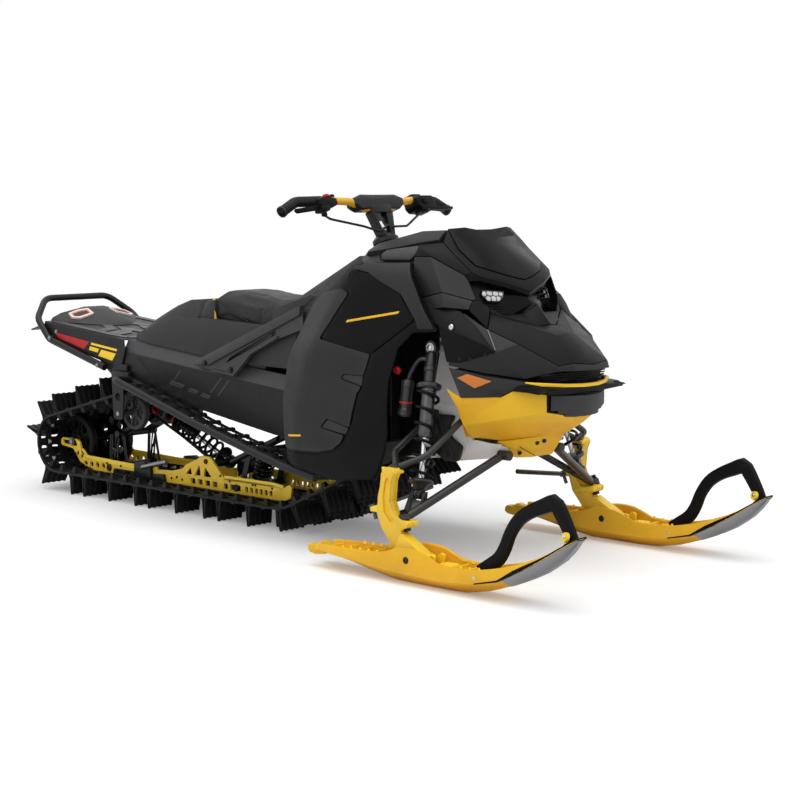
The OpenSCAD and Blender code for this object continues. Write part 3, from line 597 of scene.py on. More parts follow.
def lathe(profile, start=(0, 0, 0), end=(0, 0, 1), steps=24, closed=False):
    """Spins a (radius, height) profile about the line from start to end."""
    shape = bmesh.new()
    verts = [shape.verts.new((radius, 0, height)) for radius, height in profile]
    edges = [shape.edges.new(pair) for pair in zip(verts, verts[1:])]
    if closed:
        edges.append(shape.edges.new((verts[-1], verts[0])))
    bmesh.ops.spin(shape, geom=verts + edges, cent=(0, 0, 0), axis=(0, 0, 1), angle=math.tau,
                   steps=steps, use_merge=True, use_duplicate=False)
    bmesh.ops.remove_doubles(shape, verts=shape.verts, dist=0.01)
    bmesh.ops.recalc_face_normals(shape, faces=shape.faces)
    return placed(shape, aimed(start, end))


def coil(start, end, radius, wire, turns, sides=8):
    """A coil spring from start to end."""
    shape = bmesh.new()
    length = (Vector(end) - Vector(start)).length
    count = int(turns * 18)
    verts = [shape.verts.new((radius + a, 0, wire + b)) for a, b in ring_outline(wire, sides)]
    edges = [shape.edges.new((verts[i - 1], verts[i])) for i in range(sides)]
    bmesh.ops.edgeloop_fill(shape, edges=edges)
    out = bmesh.ops.spin(shape, geom=verts + edges, cent=(0, 0, 0), axis=(0, 0, 1), angle=math.tau * turns,
                         dvec=(0, 0, (length - 2 * wire) / count), steps=count, use_duplicate=False)
    last = [item for item in out["geom_last"] if isinstance(item, bmesh.types.BMEdge)]
    bmesh.ops.edgeloop_fill(shape, edges=last)
    bmesh.ops.recalc_face_normals(shape, faces=shape.faces)
    return placed(shape, aimed(start, end))


def bolt(place, out, radius=6.0, height=4.0):
    """A hexagon head on a washer that faces out."""
    end = Vector(place) + Vector(out)
    washer = lathe([(0, 0), (radius * 1.45, 0), (radius * 1.45, 1.2), (0, 1.2)], place, end, 12)
    head = lathe([(0, 1), (radius, 1), (radius, height), (radius * 0.8, height + 1), (0, height + 1)], place, end, 6)
    return joined(washer, head)


def facets(points, faces, thickness=0.0, edge=0.0):
    """Flat-sided bodywork from named corners; a thickness gives it a wall behind."""
    shape = bmesh.new()
    corners = {name: shape.verts.new(point) for name, point in points.items()}
    for face in faces:
        shape.faces.new([corners[name] for name in face.split()])
    loose = [v for v in shape.verts if not v.link_faces]
    bmesh.ops.delete(shape, geom=loose, context="VERTS")
    bmesh.ops.recalc_face_normals(shape, faces=shape.faces)
    if thickness:
        bmesh.ops.solidify(shape, geom=list(shape.faces), thickness=thickness)
        bmesh.ops.recalc_face_normals(shape, faces=shape.faces)
    return soften(shape, edge) if edge else shape


# ---------------------------------------------------------------- hood
# Corners of the right half, with y as half width; both_sides() makes the pair.
HOOD = {
    # windshield, from the dip in its top edge to the point of its lower V
    "w_dip": (-171, 0, 1026), "w_top": (-158, 100, 1037), "w_cor": (-181, 150, 1034), "w_in": (-149, 160, 1002),
    "w_mid": (-121, 0, 990), "w_side": (-121, 167, 972), "w_knee": (-61, 158, 924), "w_low": (-18, 102, 902),
    "w_near": (-3, 52, 888), "w_tip": (4, 0, 878),
    # brow that carries the windshield and shades the lamps
    "b_top": (-166, 186, 994), "b_side": (-124, 190, 962), "b_knee": (-48, 187, 905), "b_turn": (-30, 168, 891),
    "b_low": (4, 100, 872), "b_tip": (26, 0, 843),
    # facets beside the brow
    "d_rear": (-240, 218, 985), "d_low": (-172, 238, 952), "d_front": (-60, 206, 897),
    "e_rear": (-232, 262, 815), "e_top": (-236, 242, 950), "e_low": (-101, 265, 846), "e_front": (-20, 216, 822),
    "f_rear": (-232, 280, 780), "f_low": (-90, 272, 800), "f_front": (-16, 238, 795),
    # lamp opening
    "p_side": (-50, 200, 879), "p_top": (-32, 170, 880), "p_mid": (6, 90, 856), "p_peak": (22, 0, 828),
    "p_out": (-22, 196, 825), "p_heel": (5, 166, 800), "p_toe": (28, 130, 776), "p_in": (40, 50, 778),
    "p_nose": (55, 0, 806),
    # middle panel down to the nose
    "g_side": (12, 172, 782), "g_mid": (99, 40, 742), "g_tip": (108, 0, 746), "k_top": (38, 214, 738),
    "r_side": (168, 42, 717), "r_mid": (171, 0, 721), "k_mid": (128, 181, 698), "k_low": (236, 121, 634),
    "n_side": (262, 84, 641), "n_mid": (252, 0, 656), "n_tip": (277, 0, 634),
    # sides down to the lip
    "c_tip": (88, 236, 672), "l_rear": (-60, 282, 626), "l_mid": (46, 238, 607), "l_low": (150, 176, 592),
    "l_front": (237, 122, 616), "l_side": (270, 84, 617), "l_nose": (281, 0, 616),
    "s_rear": (-62, 284, 746), "s_top": (-30, 243, 786),
}
PANEL_GAP = 1.3
HOOD_WALL = 4.5


def hood_panel(faces, wall=HOOD_WALL, gap=PANEL_GAP, edge=1.6, lift=0.0):
    """One moulded panel: its corners, shrunk by the gap to its neighbours, with a wall and soft edges."""
    shape = facets(HOOD, faces)
    right = [v for v in shape.verts if abs(v.co.y) < 0.01]
    shrunk = both_sides(shape) if right else shape
    bmesh.ops.remove_doubles(shrunk, verts=shrunk.verts, dist=0.02)
    rim = bmesh.ops.inset_region(shrunk, faces=list(shrunk.faces), thickness=gap, use_boundary=True,
                                 use_even_offset=True)["faces"]
    bmesh.ops.delete(shrunk, geom=rim, context="FACES")
    bmesh.ops.recalc_face_normals(shrunk, faces=shrunk.faces)
    outwards = sum((face.calc_center_median() - Vector((-60, 0, 740))).dot(face.normal) for face in shrunk.faces)
    if outwards < 0:
        bmesh.ops.reverse_faces(shrunk, faces=shrunk.faces)
    for v in shrunk.verts:
        v.co += v.normal * lift
    bmesh.ops.solidify(shrunk, geom=list(shrunk.faces), thickness=wall)
    bmesh.ops.recalc_face_normals(shrunk, faces=shrunk.faces)
    soften(shrunk, edge, 2, 18)
    return shrunk if right else both_sides(shrunk)


def windshield():
    shape = hood_panel(["w_dip w_top w_cor w_in w_mid", "w_mid w_in w_side w_knee",
                        "w_mid w_knee w_low", "w_mid w_low w_near w_tip"], 5, 1.0, 1.2, 3.0)
    piece(shape, "windshield", SCREEN, hides=("windshield",))


def brow():
    """The collar round the windshield: a flat band with a deep front lip over the lamps."""
    top = ["w_cor b_top b_side w_in", "w_in b_side w_side", "w_side b_side b_knee w_knee",
           "w_knee b_knee b_turn", "w_knee b_turn w_low", "w_low b_turn b_low w_near", "w_near b_low b_tip w_tip"]
    lip = ["b_knee d_front p_side p_top b_turn", "b_turn p_top p_mid b_low", "b_low p_mid p_peak b_tip"]
    piece(hood_panel(top, 6, 0.8), "windshield_collar", BLACK)
    piece(hood_panel(lip, 4, 0.6), "lamp_brow", GLOSS_BLACK)


def hood_shell():
    upper = joined(hood_panel(["d_rear b_top b_side d_low", "b_side b_knee d_front d_low", "d_rear d_low e_top"]))
    piece(upper, "hood_upper_sides", BLACK, hides=("hood",))
    sides = joined(
        hood_panel(["e_top d_low e_low e_rear", "d_low d_front p_side p_out e_front e_low"]),
        hood_panel(["e_rear e_low f_low f_rear", "e_low e_front f_front f_low"]))
    piece(sides, "hood_side_facets", PANEL_BLACK)
    middle = joined(
        hood_panel(["p_out p_heel g_side k_top f_front e_front"]),
        hood_panel(["p_heel p_toe g_side", "p_toe p_in g_mid g_side", "p_in p_nose g_tip g_mid"]),
        hood_panel(["g_side r_side k_mid k_top", "g_side g_mid r_side", "g_mid g_tip r_mid r_side",
                    "r_side n_side k_low k_mid", "r_side r_mid n_mid n_side", "n_side n_mid n_tip"]))
    piece(middle, "hood_middle", BLACK)
    low = hood_panel(["k_top k_mid c_tip", "k_mid k_low l_front l_low", "k_mid l_low c_tip", "c_tip l_low l_mid",
                      "k_low n_side l_side l_front", "n_side n_tip l_nose l_side", "k_top c_tip s_top",
                      "c_tip l_mid l_rear s_rear", "c_tip s_rear s_top"])
    piece(low, "hood_lower_sides", PANEL_BLACK)
    core = joined(
        hull([(x, side * (y - 9), z) for side in (1, -1) for x, y, z in (
            (-232, 150, 1010), (-232, 240, 930), (-232, 262, 790), (-60, 180, 890), (-20, 95, 860),
            (-20, 160, 780), (-62, 262, 760), (-150, 150, 1008))]),
        hull([(x, side * (y - 9), z) for side in (1, -1) for x, y, z in (
            (-60, 262, 760), (-60, 276, 636), (20, 120, 770), (150, 60, 700), (90, 228, 668), (40, 228, 612),
            (140, 170, 600), (226, 110, 622), (266, 12, 624), (-20, 150, 780))]))
    piece(core, "hood_inner", GLOSS_BLACK)


def cheeks():
    """Raised side pads of the hood with a fold, a round cap and rivets along the foot."""
    cheek = {
        "top": (-186, 270, 822), "up": (-40, 250, 791), "bend": (16, 240, 748), "tip": (93, 243, 674),
        "heel": (-20, 270, 637), "foot": (-60, 290, 638), "fold": (-90, 296, 748), "crease": (66, 266, 697),
        "rear": (-150, 290, 770),
    }
    shape = facets(cheek, ["top up fold rear", "up bend crease fold", "bend tip crease", "fold crease heel foot",
                           "crease tip heel"])
    bmesh.ops.recalc_face_normals(shape, faces=shape.faces)
    if sum(face.normal.y for face in shape.faces) < 0:
        bmesh.ops.reverse_faces(shape, faces=shape.faces)
    bmesh.ops.solidify(shape, geom=list(shape.faces), thickness=9)
    soften(shape, 2, 2, 14)
    piece(both_sides(shape), "hood_cheeks", BLACK)
    cap = lathe([(0, 0), (9, 0), (9, 3), (7, 4.5), (0, 5)], (-47, 282, 744), (-47, 283, 744.2), 18)
    piece(both_sides(cap), "cheek_caps", STEEL)
    rivets = [bolt((x, y, z), (0.3, 1, -0.1), 3.4, 2) for x, y, z in
              ((-20, 273, 650), (14, 266, 653), (60, 252, 668))]
    piece(both_sides(joined(*rivets)), "cheek_rivets", BLACK_COAT)
    # a pale line along the cheek's upper edge: painted highlight where the edge catches the light
    line = tube([(40, 217, 737), (88, 238, 680), (134, 184, 698)][:2], 1.6, 6)
    piece(both_sides(line), "cheek_painted_highlight", CHEEK_HIGHLIGHT_GREY)


# reflector cells: left, low, right and high edges
CELLS = [(1, 12, 13, 26), (15, 14, 32, 27), (34, 13, 51, 26), (53, 13, 64, 24), (11, -3, 25, 11), (27, -4, 41, 12), (43, -3, 55, 11)]


def lamps():
    """A deep pocket each side with a faceted cluster of reflectors behind a clear cover."""
    names = "p_side p_top p_mid p_peak p_nose p_in p_toe p_heel p_out".split()
    shape = facets(HOOD, [" ".join(names)])
    back = Vector((-40, -4, -12))
    grown = bmesh.ops.extrude_face_region(shape, geom=list(shape.faces))["geom"]
    inner = [item for item in grown if isinstance(item, bmesh.types.BMVert)]
    middle = sum((v.co for v in inner), Vector()) / len(inner)
    for v in inner:
        v.co = middle + (v.co - middle) * 0.88 + back * (0 if abs(v.co.y) < 0.01 else 1)
    outer = [face for face in shape.faces if not any(v in inner for v in face.verts)]
    bmesh.ops.delete(shape, geom=outer, context="FACES_ONLY")
    bmesh.ops.solidify(shape, geom=list(shape.faces), thickness=2)
    piece(both_sides(shape), "lamp_pockets", GLOSS_BLACK)

    across_lamp = Vector((44, -55, -2)).normalized()
    up_lamp = Vector((-0.35, -0.1, 1)).normalized()
    out_lamp = across_lamp.cross(up_lamp).normalized()
    if out_lamp.x < 0:
        out_lamp = -out_lamp
    corner = Vector((-30, 157, 822))

    def on_lamp(a, b, c=0):
        return corner + across_lamp * a + up_lamp * b + out_lamp * c

    reflectors = []
    for left, low, right, high in CELLS:
        wide, tall = right - left, high - low
        reflectors.append(hull([on_lamp(left + a * wide, low + b * tall, c) for a, b, c in (
            (0, 0.3, 0), (0.3, 0, 0), (0.8, 0, 0), (1, 0.3, 0), (1, 0.8, 0), (0.7, 1, 0), (0.2, 1, 0), (0, 0.7, 0), (0.25, 0.25, -7),
            (0.75, 0.25, -7), (0.75, 0.75, -7), (0.25, 0.75, -7), (0.5, 0.5, 3))], 0.5))
    piece(both_sides(joined(*reflectors)), "lamp_reflectors", PALE_LED, hides=("headlights",))
    rim = []
    frame_path = rounded([on_lamp(a, b, 1) for a, b in ((13, -6), (50, -6), (64, 10), (68, 26), (2, 29), (-3, 14))], 6)
    rim.append(tube(frame_path + frame_path[:1], 2.2, 8))
    slats = [bar(on_lamp(6, -9 - 8 * k, -6), on_lamp(66 - 8 * k, -9 - 8 * k, -4), 2.0, 6) for k in range(4)]
    piece(both_sides(joined(*rim, *slats)), "lamp_rims", BLACK)
    cover = hull([on_lamp(a, b, c) for a, b in ((14, -5), (49, -5), (63, 10), (67, 25), (3, 28), (-2, 14)) for c in (4, 6)], 1)
    piece(both_sides(cover), "lamp_covers", CLEAR)


windshield()
brow()
hood_shell()
cheeks()
lamps()


# ---------------------------------------------------------------- nose, pan and frame
NOSE_POINTS = {
    # side band under the hood, with the reflector
    "a_rear": (-60, 281, 622), "a_mid": (42, 240, 601), "a_right": (172, 178, 583), "a_tip": (210, 160, 580),
    "a_low": (-24, 266, 530), "a_foot": (84, 208, 538), "a_step": (116, 194, 557), "a_end": (206, 160, 556),
    # black bumper band
    "m_top": (256, 40, 571), "m_peak": (262, 0, 570), "m_low": (248, 60, 552), "m_mid": (254, 0, 550),
    "m_side": (206, 152, 548), "m_far": (224, 128, 574),
    # pan
    "n_rear": (-74, 276, 556), "n_heel": (-46, 257, 497), "n_top": (-26, 262, 530), "n_fold": (-40, 236, 443),
    "n_under": (-40, 200, 408), "n_foot": (84, 204, 536), "n_step": (118, 190, 556), "n_edge": (207, 142, 556),
    "n_side": (207, 140, 492), "n_grille": (236, 42, 474), "n_cross": (213, 30, 450), "n_back": (-70, 190, 400),
    "n_mid": (236, 0, 474), "n_keel": (216, 0, 450), "n_low": (20, 126, 392), "n_floor": (150, 30, 412),
    "n_end": (152, 0, 412), "n_belly": (20, 0, 386), "n_inner": (-70, 0, 396),
}


def nose_panel(faces, wall=4.0, gap=0.6, edge=1.4, points=NOSE_POINTS, lift=0.0):
    HOOD.update(points)
    return hood_panel(faces, wall, gap, edge, lift)


def side_bands():
    band = nose_panel(["a_rear a_mid a_foot a_low", "a_mid a_right a_step a_foot", "a_right a_tip a_end a_step"])
    back = hull([(x, side * y, z) for side in (1, -1) for x, y, z in (
        (-50, 262, 618), (40, 226, 598), (190, 150, 578), (-20, 250, 536), (84, 190, 542), (190, 140, 560))])
    piece(joined(band, back), "nose_bands", CHARCOAL, hides=("front_bumper",))
    frame_place = aimed((20, 253, 584), (20 + 0.36, 254, 584.1))
    reflector = hull([(-31, 272, 592), (2, 260, 604), (72, 231, 585), (20, 249, 561),
                      (-31, 276, 592), (0, 264.5, 605), (71, 235, 586), (19, 253, 562)], 1.5, 2)
    piece(both_sides(reflector), "side_reflectors", AMBER)
    # a black rod on the band where a slit is: painted shade of the opening
    slit_shade = tube([(60, 233, 546), (96, 214, 548), (84, 214, 560)][:2], 1.2, 6)
    piece(both_sides(slit_shade), "band_painted_slit_shade", GLOSS_BLACK)


def under_nose():
    """Louvres between the hood's lip and the yellow strip."""
    bars = []
    for k in range(4):
        z = 611 - k * 7
        reach = 158 - k * 6
        bars.append(tube([(196 - k, -reach, z - 8), (246 - k * 2, -92, z), (262 - k * 3, 0, z + 1),
                          (246 - k * 2, 92, z), (196 - k, reach, z - 8)], 2.4, 6))
    back = hull([(x, side * y, z) for side in (1, -1) for x, y, z in (
        (180, 150, 584), (226, 86, 576), (244, 0, 575), (190, 150, 600), (236, 86, 612), (250, 0, 614), (100, 100, 590))])
    piece(joined(*bars, back), "nose_louvres", BLACK)


def yellow_strip():
    """A thin rib that follows the nose and turns up at both ends."""
    half = [(160, 184, 583.5), (206, 160, 579), (242, 100, 575), (262, 34, 573), (264, 0, 573)]
    line = half + [(x, -y, z) for x, y, z in reversed(half[:-1])]
    profile = [(-5, -5.5), (3, -5.5), (5, -3), (5, 3), (3, 5.5), (-5, 5.5)]
    scale = [0.35] + [1.0] * (len(line) - 2) + [0.35]
    strip = sweep(line, [(b, a) for a, b in profile], (0, 0, 1), scale)
    piece(soften(strip, 0.8), "nose_strip", YELLOW_PLASTIC)


def bumper():
    """The black lip below the strip, with a pointed wing at each front corner."""
    lip = hull([(x, side * y, z) for side in (1, -1) for x, y, z in (
        (112, 195, 556), (246, 190, 553), (250, 60, 547), (253, 0, 546), (120, 190, 577), (228, 186, 570),
        (250, 178, 562), (254, 60, 569), (258, 0, 569))], 2, 2)
    wing = hull([(160, 190, 566), (240, 150, 571), (250, 190, 563), (248, 202, 557), (222, 200, 552), (160, 196, 556)], 2, 2)
    piece(joined(lip, both_sides(wing)), "nose_bumper", BLACK)


def grille():
    """A dark hexagon in the nose with folded louvres."""
    outline = [(208, 141, 556), (208, 141, 492), (236, 42, 476), (241, 0, 474), (250, 60, 542), (256, 0, 545)]
    core = hull([(x - 4, side * y, z) for side in (1, -1) for x, y, z in outline], 1.5)
    blades = []
    for k in range(6):
        z = 537 - 10.5 * k
        side_reach = 130 - max(0, k - 3) * 24
        edge_x = 212 + (133 - side_reach) * 0.3
        blades.append(sweep([(edge_x + 2, -side_reach, z), (252 - 2.6 * k, -54, z - 2), (256 - 2.2 * k, 0, z - 3),
                             (252 - 2.6 * k, 54, z - 2), (edge_x + 2, side_reach, z)],
                            [(-2.2, -6), (2.2, -6), (2.2, 6), (-2.2, 6)]))
    piece(core, "grille_core", GLOSS_BLACK, hides=("grille",))
    piece(joined(*blades), "nose_grille", CHARCOAL)


def pan():
    faces = ["n_rear n_top n_heel", "n_top n_foot n_step n_fold n_heel", "n_step n_edge n_side n_fold",
             "n_side n_grille n_cross n_fold", "n_grille n_mid n_keel n_cross", "n_fold n_cross n_floor n_low n_under",
             "n_cross n_keel n_end n_floor", "n_low n_floor n_end n_belly", "n_under n_low n_belly n_inner n_back",
             "n_heel n_fold n_under n_back"]
    shell = nose_panel(faces, 5, 0.2, 3.0)
    piece(shell, "belly_pan", YELLOW_PLASTIC, hides=("belly_pan",))
    skid = hull([(x, side * y, z) for side in (1, -1) for x, y, z in (
        (6, 126, 390), (30, 128, 388), (140, 36, 412), (140, 0, 413), (40, 78, 336), (78, 52, 338), (4, 78, 340),
        (0, 120, 380))], 2.5, 2)
    piece(skid, "skid_bracket", YELLOW_PLASTIC)
    heads = [bolt((x, y, z), (0.66, 0.5, -0.42), 5, 3) for x, y, z in ((60, 86, 353), (104, 54, 385), (122, 44, 392))]
    # a dark rod where the pan has a groove: painted shade of the groove
    groove_shade = tube([(64, 92, 373), (96, 55, 345)], 1.2, 6)
    piece(both_sides(joined(*heads, groove_shade)), "pan_bolts_and_groove_shade", BLACK_COAT)
    core = hull([(x, side * y, z) for side in (1, -1) for x, y, z in (
        (-40, 236, 520), (-30, 180, 420), (90, 176, 530), (190, 120, 540), (190, 110, 490), (196, 20, 462),
        (90, 40, 410))])
    piece(core, "pan_core", BLACK_COAT)


def frame_plates():
    """Cast plates of the front frame, with ribs and lightening pockets."""
    tall = [(-236, 330), (-96, 330), (-60, 392), (-50, 470), (-84, 560), (-122, 640), (-128, 700), (-176, 700),
            (-204, 560), (-214, 470), (-244, 400)]
    pockets = [rounded([(-206, 352), (-128, 352), (-104, 396), (-190, 396)], 8, 2),
               rounded([(-190, 416), (-96, 416), (-88, 462), (-176, 470)], 8, 2),
               rounded([(-178, 492), (-98, 488), (-118, 560), (-172, 566)], 8, 2)]
    outer = moved(plate(rounded(tall, 10, 2), 0, 7, "y", pockets, 1), y=172)
    back = plate(rounded(tall, 10, 2), 158, 171)
    low = hull([(-150, 150, 320), (-104, 176, 322), (30, 100, 338), (42, 118, 372), (-40, 168, 392), (-110, 178, 388),
                (-40, 120, 332), (-150, 150, 390)], 3, 2)
    ribs = [bar((-100, 174, 336), (30, 114, 366), 4, 8), bar((-96, 176, 382), (20, 124, 376), 4, 8)]
    heads = [bolt((x, 181, z), (0, 1, 0), 6, 4) for x, z in ((-226, 392), (-70, 476), (-150, 686), (-196, 470))]
    plates = joined(outer, back, low, *ribs, *heads)
    piece(both_sides(plates), "frame_castings", GREY_CAST)
    arch = plate(rounded([(-396, 300), (-396, 720), (-250, 760), (-62, 748), (-62, 700), (-240, 690), (-262, 560),
                          (-256, 330)], 12, 2), 178, 184)
    box = block((-396, -176, 332), (-250, 176, 735), 6)
    piece(joined(both_sides(arch), box), "engine_bay", BLACK_COAT)


side_bands()
under_nose()
yellow_strip()
bumper()
grille()
pan()
frame_plates()


# ---------------------------------------------------------------- side panels
PANEL_SECTION = [(230, 366), (300, 370), (480, 370), (650, 350), (730, 328), (850, 300), (900, 282), (940, 240)]
REAR_CREASE = [(255, -655), (480, -640), (647, -600), (674, -566), (839, -496), (940, -440)]
ARCH_EDGE = [(255, -300), (353, -431), (407, -411), (431, -390), (521, -348), (610, -318), (653, -306),
             (703, -232), (756, -170), (940, -60)]


def between(pairs, value):
    """Straight-line reading of a table of (place, value) pairs."""
    for (a, low), (b, high) in zip(pairs, pairs[1:]):
        if value <= b:
            return low + (high - low) * max(0, (value - a) / (b - a))
    return pairs[-1][1]


def panel_y(x, z, sink=0.0):
    """Half width of the side panel's outer face, a little softened along its creases."""
    reach = sum(between(PANEL_SECTION, z + step) for step in (-16, -8, 0, 8, 16)) / 5
    crease = sum(between(REAR_CREASE, z + step) for step in (-20, 0, 20)) / 3
    behind = max(0.0, crease - x)
    arch = between(ARCH_EDGE, z)
    ahead = max(0.0, x - arch)
    bow = 6 * math.sin(math.pi * min(1, max(0, (x + 700) / 420)))
    return reach - 0.32 * behind - 0.16 * ahead + bow - sink


def skin(outline, wall=4.0, sink=0.0, edge=1.2, corner=10, grid=26):
    """A panel of the side: an outline in x and z, bent to the panel's curved face."""
    shape = bmesh.new()
    verts = [shape.verts.new((p.x, 0, p.y)) for p in rounded(outline, corner, 3)]
    shape.faces.new(verts)
    for axis in (0, 2):
        low = min(v.co[axis] for v in shape.verts)
        high = max(v.co[axis] for v in shape.verts)
        normal = (1, 0, 0) if axis == 0 else (0, 0, 1)
        for k in range(1, int((high - low) / grid)):
            spot = [0, 0, 0]
            spot[axis] = low + k * grid
            bmesh.ops.bisect_plane(shape, geom=list(shape.verts) + list(shape.edges) + list(shape.faces), dist=0.05,
                                   plane_co=spot, plane_no=normal)
    for v in shape.verts:
        v.co.y = panel_y(v.co.x, v.co.z, sink)
    bmesh.ops.recalc_face_normals(shape, faces=shape.faces)
    if sum(face.normal.y for face in shape.faces) < 0:
        bmesh.ops.reverse_faces(shape, faces=shape.faces)
    bmesh.ops.solidify(shape, geom=list(shape.faces), thickness=wall)
    bmesh.ops.recalc_face_normals(shape, faces=shape.faces)
    return soften(shape, edge, 2, 40) if edge else shape


WHOLE_PANEL = [(-698, 282), (-724, 479), (-712, 657), (-662, 796), (-550, 851), (-506, 898), (-463, 922),
               (-247, 933), (-178, 856), (-127, 786), (-81, 730), (-168, 722), (-224, 672), (-252, 571),
               (-256, 423), (-287, 264), (-478, 244)]
BADGE_PANEL = [(-482, 905), (-396, 895), (-328, 866), (-240, 832), (-166, 762), (-318, 655), (-548, 690), (-452, 832)]
REAR_PANEL = [(-489, 846), (-598, 828), (-645, 789), (-684, 705), (-719, 613), (-721, 508), (-711, 386), (-697, 328),
              (-601, 326), (-527, 330), (-462, 344), (-428, 367), (-412, 392), (-520, 408), (-486, 440), (-390, 420), (-362, 530),
              (-345, 548), (-436, 568), (-424, 584), (-341, 584), (-322, 650), (-552, 686), (-456, 832)]
UPPER_PANEL = [(-479, 911), (-421, 926), (-247, 931), (-181, 856), (-130, 786), (-92, 736), (-152, 736), (-160, 760),
               (-236, 838), (-326, 870), (-394, 899)]
ARCH_PANEL = [(-163, 755), (-96, 733), (-168, 724), (-222, 672), (-250, 571), (-254, 423), (-284, 290), (-296, 268),
              (-478, 248), (-692, 286), (-694, 317), (-601, 315), (-525, 319), (-456, 333), (-417, 358), (-399, 392), (-378, 440),
              (-354, 530), (-340, 548), (-338, 584), (-318, 648)]
LATCHES = [[(-434, 569), (-346, 551), (-345, 582), (-424, 582)], [(-516, 409), (-410, 396), (-394, 416), (-484, 437)]]


def side_panel(side, other):
    """A dark inner skin with the outer mouldings laid on it, a thin shut line apart."""
    def own(shape):
        return shape if side > 0 else other_side(shape)

    body = "side_panel_left_body" if side > 0 else "side_panel_right_body"
    word = "left" if side > 0 else "right"
    inner = skin(WHOLE_PANEL, 7, 6, 0, 8, 34)
    piece(own(inner), f"panel_inner_{word}", GLOSS_BLACK, body, hides=(f"side_panel_{word}",))
    main = joined(skin(REAR_PANEL, 5, 0, 1.4, 8), skin(UPPER_PANEL, 5, 1, 1.4, 6))
    piece(own(main), f"panel_outer_{word}", PANEL_BLACK, body)
    arch = skin(ARCH_PANEL, 5, 2, 1.4, 6)
    piece(own(arch), f"panel_arch_{word}", BLACK, body)
    badge = skin(BADGE_PANEL, 5, 2.5, 1.4, 10)
    piece(own(badge), f"panel_insert_{word}", GLOSS_BLACK, body)
    rim = []
    for k in range(len(LATCHES)):
        rim.append(skin(LATCHES[k], 4, 3, 1, 5, 20))
    piece(own(joined(*rim)), f"panel_latches_{word}", CHARCOAL, body)
    stripe = skin([(-445, 742), (-236, 778), (-230, 786), (-440, 750)], 3, -0.2, 0.4, 1, 40)
    small = skin([(-300, 758), (-246, 768), (-242, 773), (-297, 763)], 3, -0.2, 0.3, 1, 40)
    mark = skin([(-672, 366), (-606, 372), (-606, 378), (-672, 372)], 3, -2.4, 0.3, 1, 9)
    bmesh.ops.translate(small, vec=(0, 0, -26), verts=small.verts)
    for v in small.verts:
        v.co.y += 2.6
    piece(own(joined(stripe, small, mark)), f"panel_stripes_{word}", YELLOW_PLASTIC, body)


for side in (1, -1):
    side_panel(side, -side)


# ---------------------------------------------------------------- skis, handles and spindles
def loft(rings):
    """Walls from ring to ring of matching points, closed at both ends."""
    shape = bmesh.new()
    verts = [shape.verts.new(point) for point in rings[0]]
    edges = [shape.edges.new((verts[i - 1], verts[i])) for i in range(len(verts))]
    bmesh.ops.edgeloop_fill(shape, edges=edges)
    for ring in rings[1:]:
        grown = bmesh.ops.extrude_edge_only(shape, edges=edges)["geom"]
        fresh = {tuple(item.co): item for item in grown if isinstance(item, bmesh.types.BMVert)}
        verts = [fresh[tuple(v.co)] for v in verts]
        ends = set(verts)
        edges = [item for item in grown if isinstance(item, bmesh.types.BMEdge) and set(item.verts) <= ends]
        for v, point in zip(verts, ring):
            v.co = point
    bmesh.ops.edgeloop_fill(shape, edges=edges)
    bmesh.ops.recalc_face_normals(shape, faces=shape.faces)
    return shape


SKI_KEEL = [(-440, 56), (-380, 46), (-300, 36), (-213, 20), (-150, 10), (-78, 1), (0, 0), (137, 0), (206, 4), (290, 21),
            (379, 52), (470, 92), (540, 138), (580, 178), (597, 204)]
SKI_CREASE = [(-440, 60), (-300, 52), (-186, 44), (-120, 38), (-31, 35), (140, 33), (250, 42), (351, 64), (430, 104),
              (497, 142), (560, 184), (597, 208)]
SKI_RIM = [(-440, 74), (-300, 80), (-209, 82), (-119, 85), (-75, 96), (-35, 112), (40, 112), (75, 102), (120, 84),
           (181, 79), (291, 88), (382, 110), (497, 152), (560, 190), (597, 212)]
SKI_HALF = [(-440, 40), (-400, 46), (-300, 58), (300, 60.5), (420, 57), (500, 50), (560, 40), (597, 24)]
SKI_STATIONS = [-392, -372, -350, -300, -250, -200, -150, -110, -75, -45, -15, 20, 50, 80, 120, 160, 200, 240, 280, 320,
                360, 400, 440, 480, 515, 545, 570, 588, 597]


def ski_ring(x):
    """Half-open hull section: rims, side walls, a crease and a sole that runs in to the keel."""
    half = between(SKI_HALF, x)
    keel, crease, rim = between(SKI_KEEL, x), between(SKI_CREASE, x), between(SKI_RIM, x)
    floor = crease + 3 if x < 500 else rim - 3
    floor = min(floor, rim - 2)
    right = [(half * 0.93, rim), (half, crease), (half * 0.34, keel + 0.25 * (crease - keel)), (10, keel)]
    inner = [(half * 0.74, floor), (half * 0.8, rim - 4), (half * 0.85, rim)]
    ring = [(x, y, z) for y, z in right] + [(x, -y, z) for y, z in reversed(right)]
    return ring + [(x, -y, z) for y, z in inner[::-1]] + [(x, y, z) for y, z in inner]


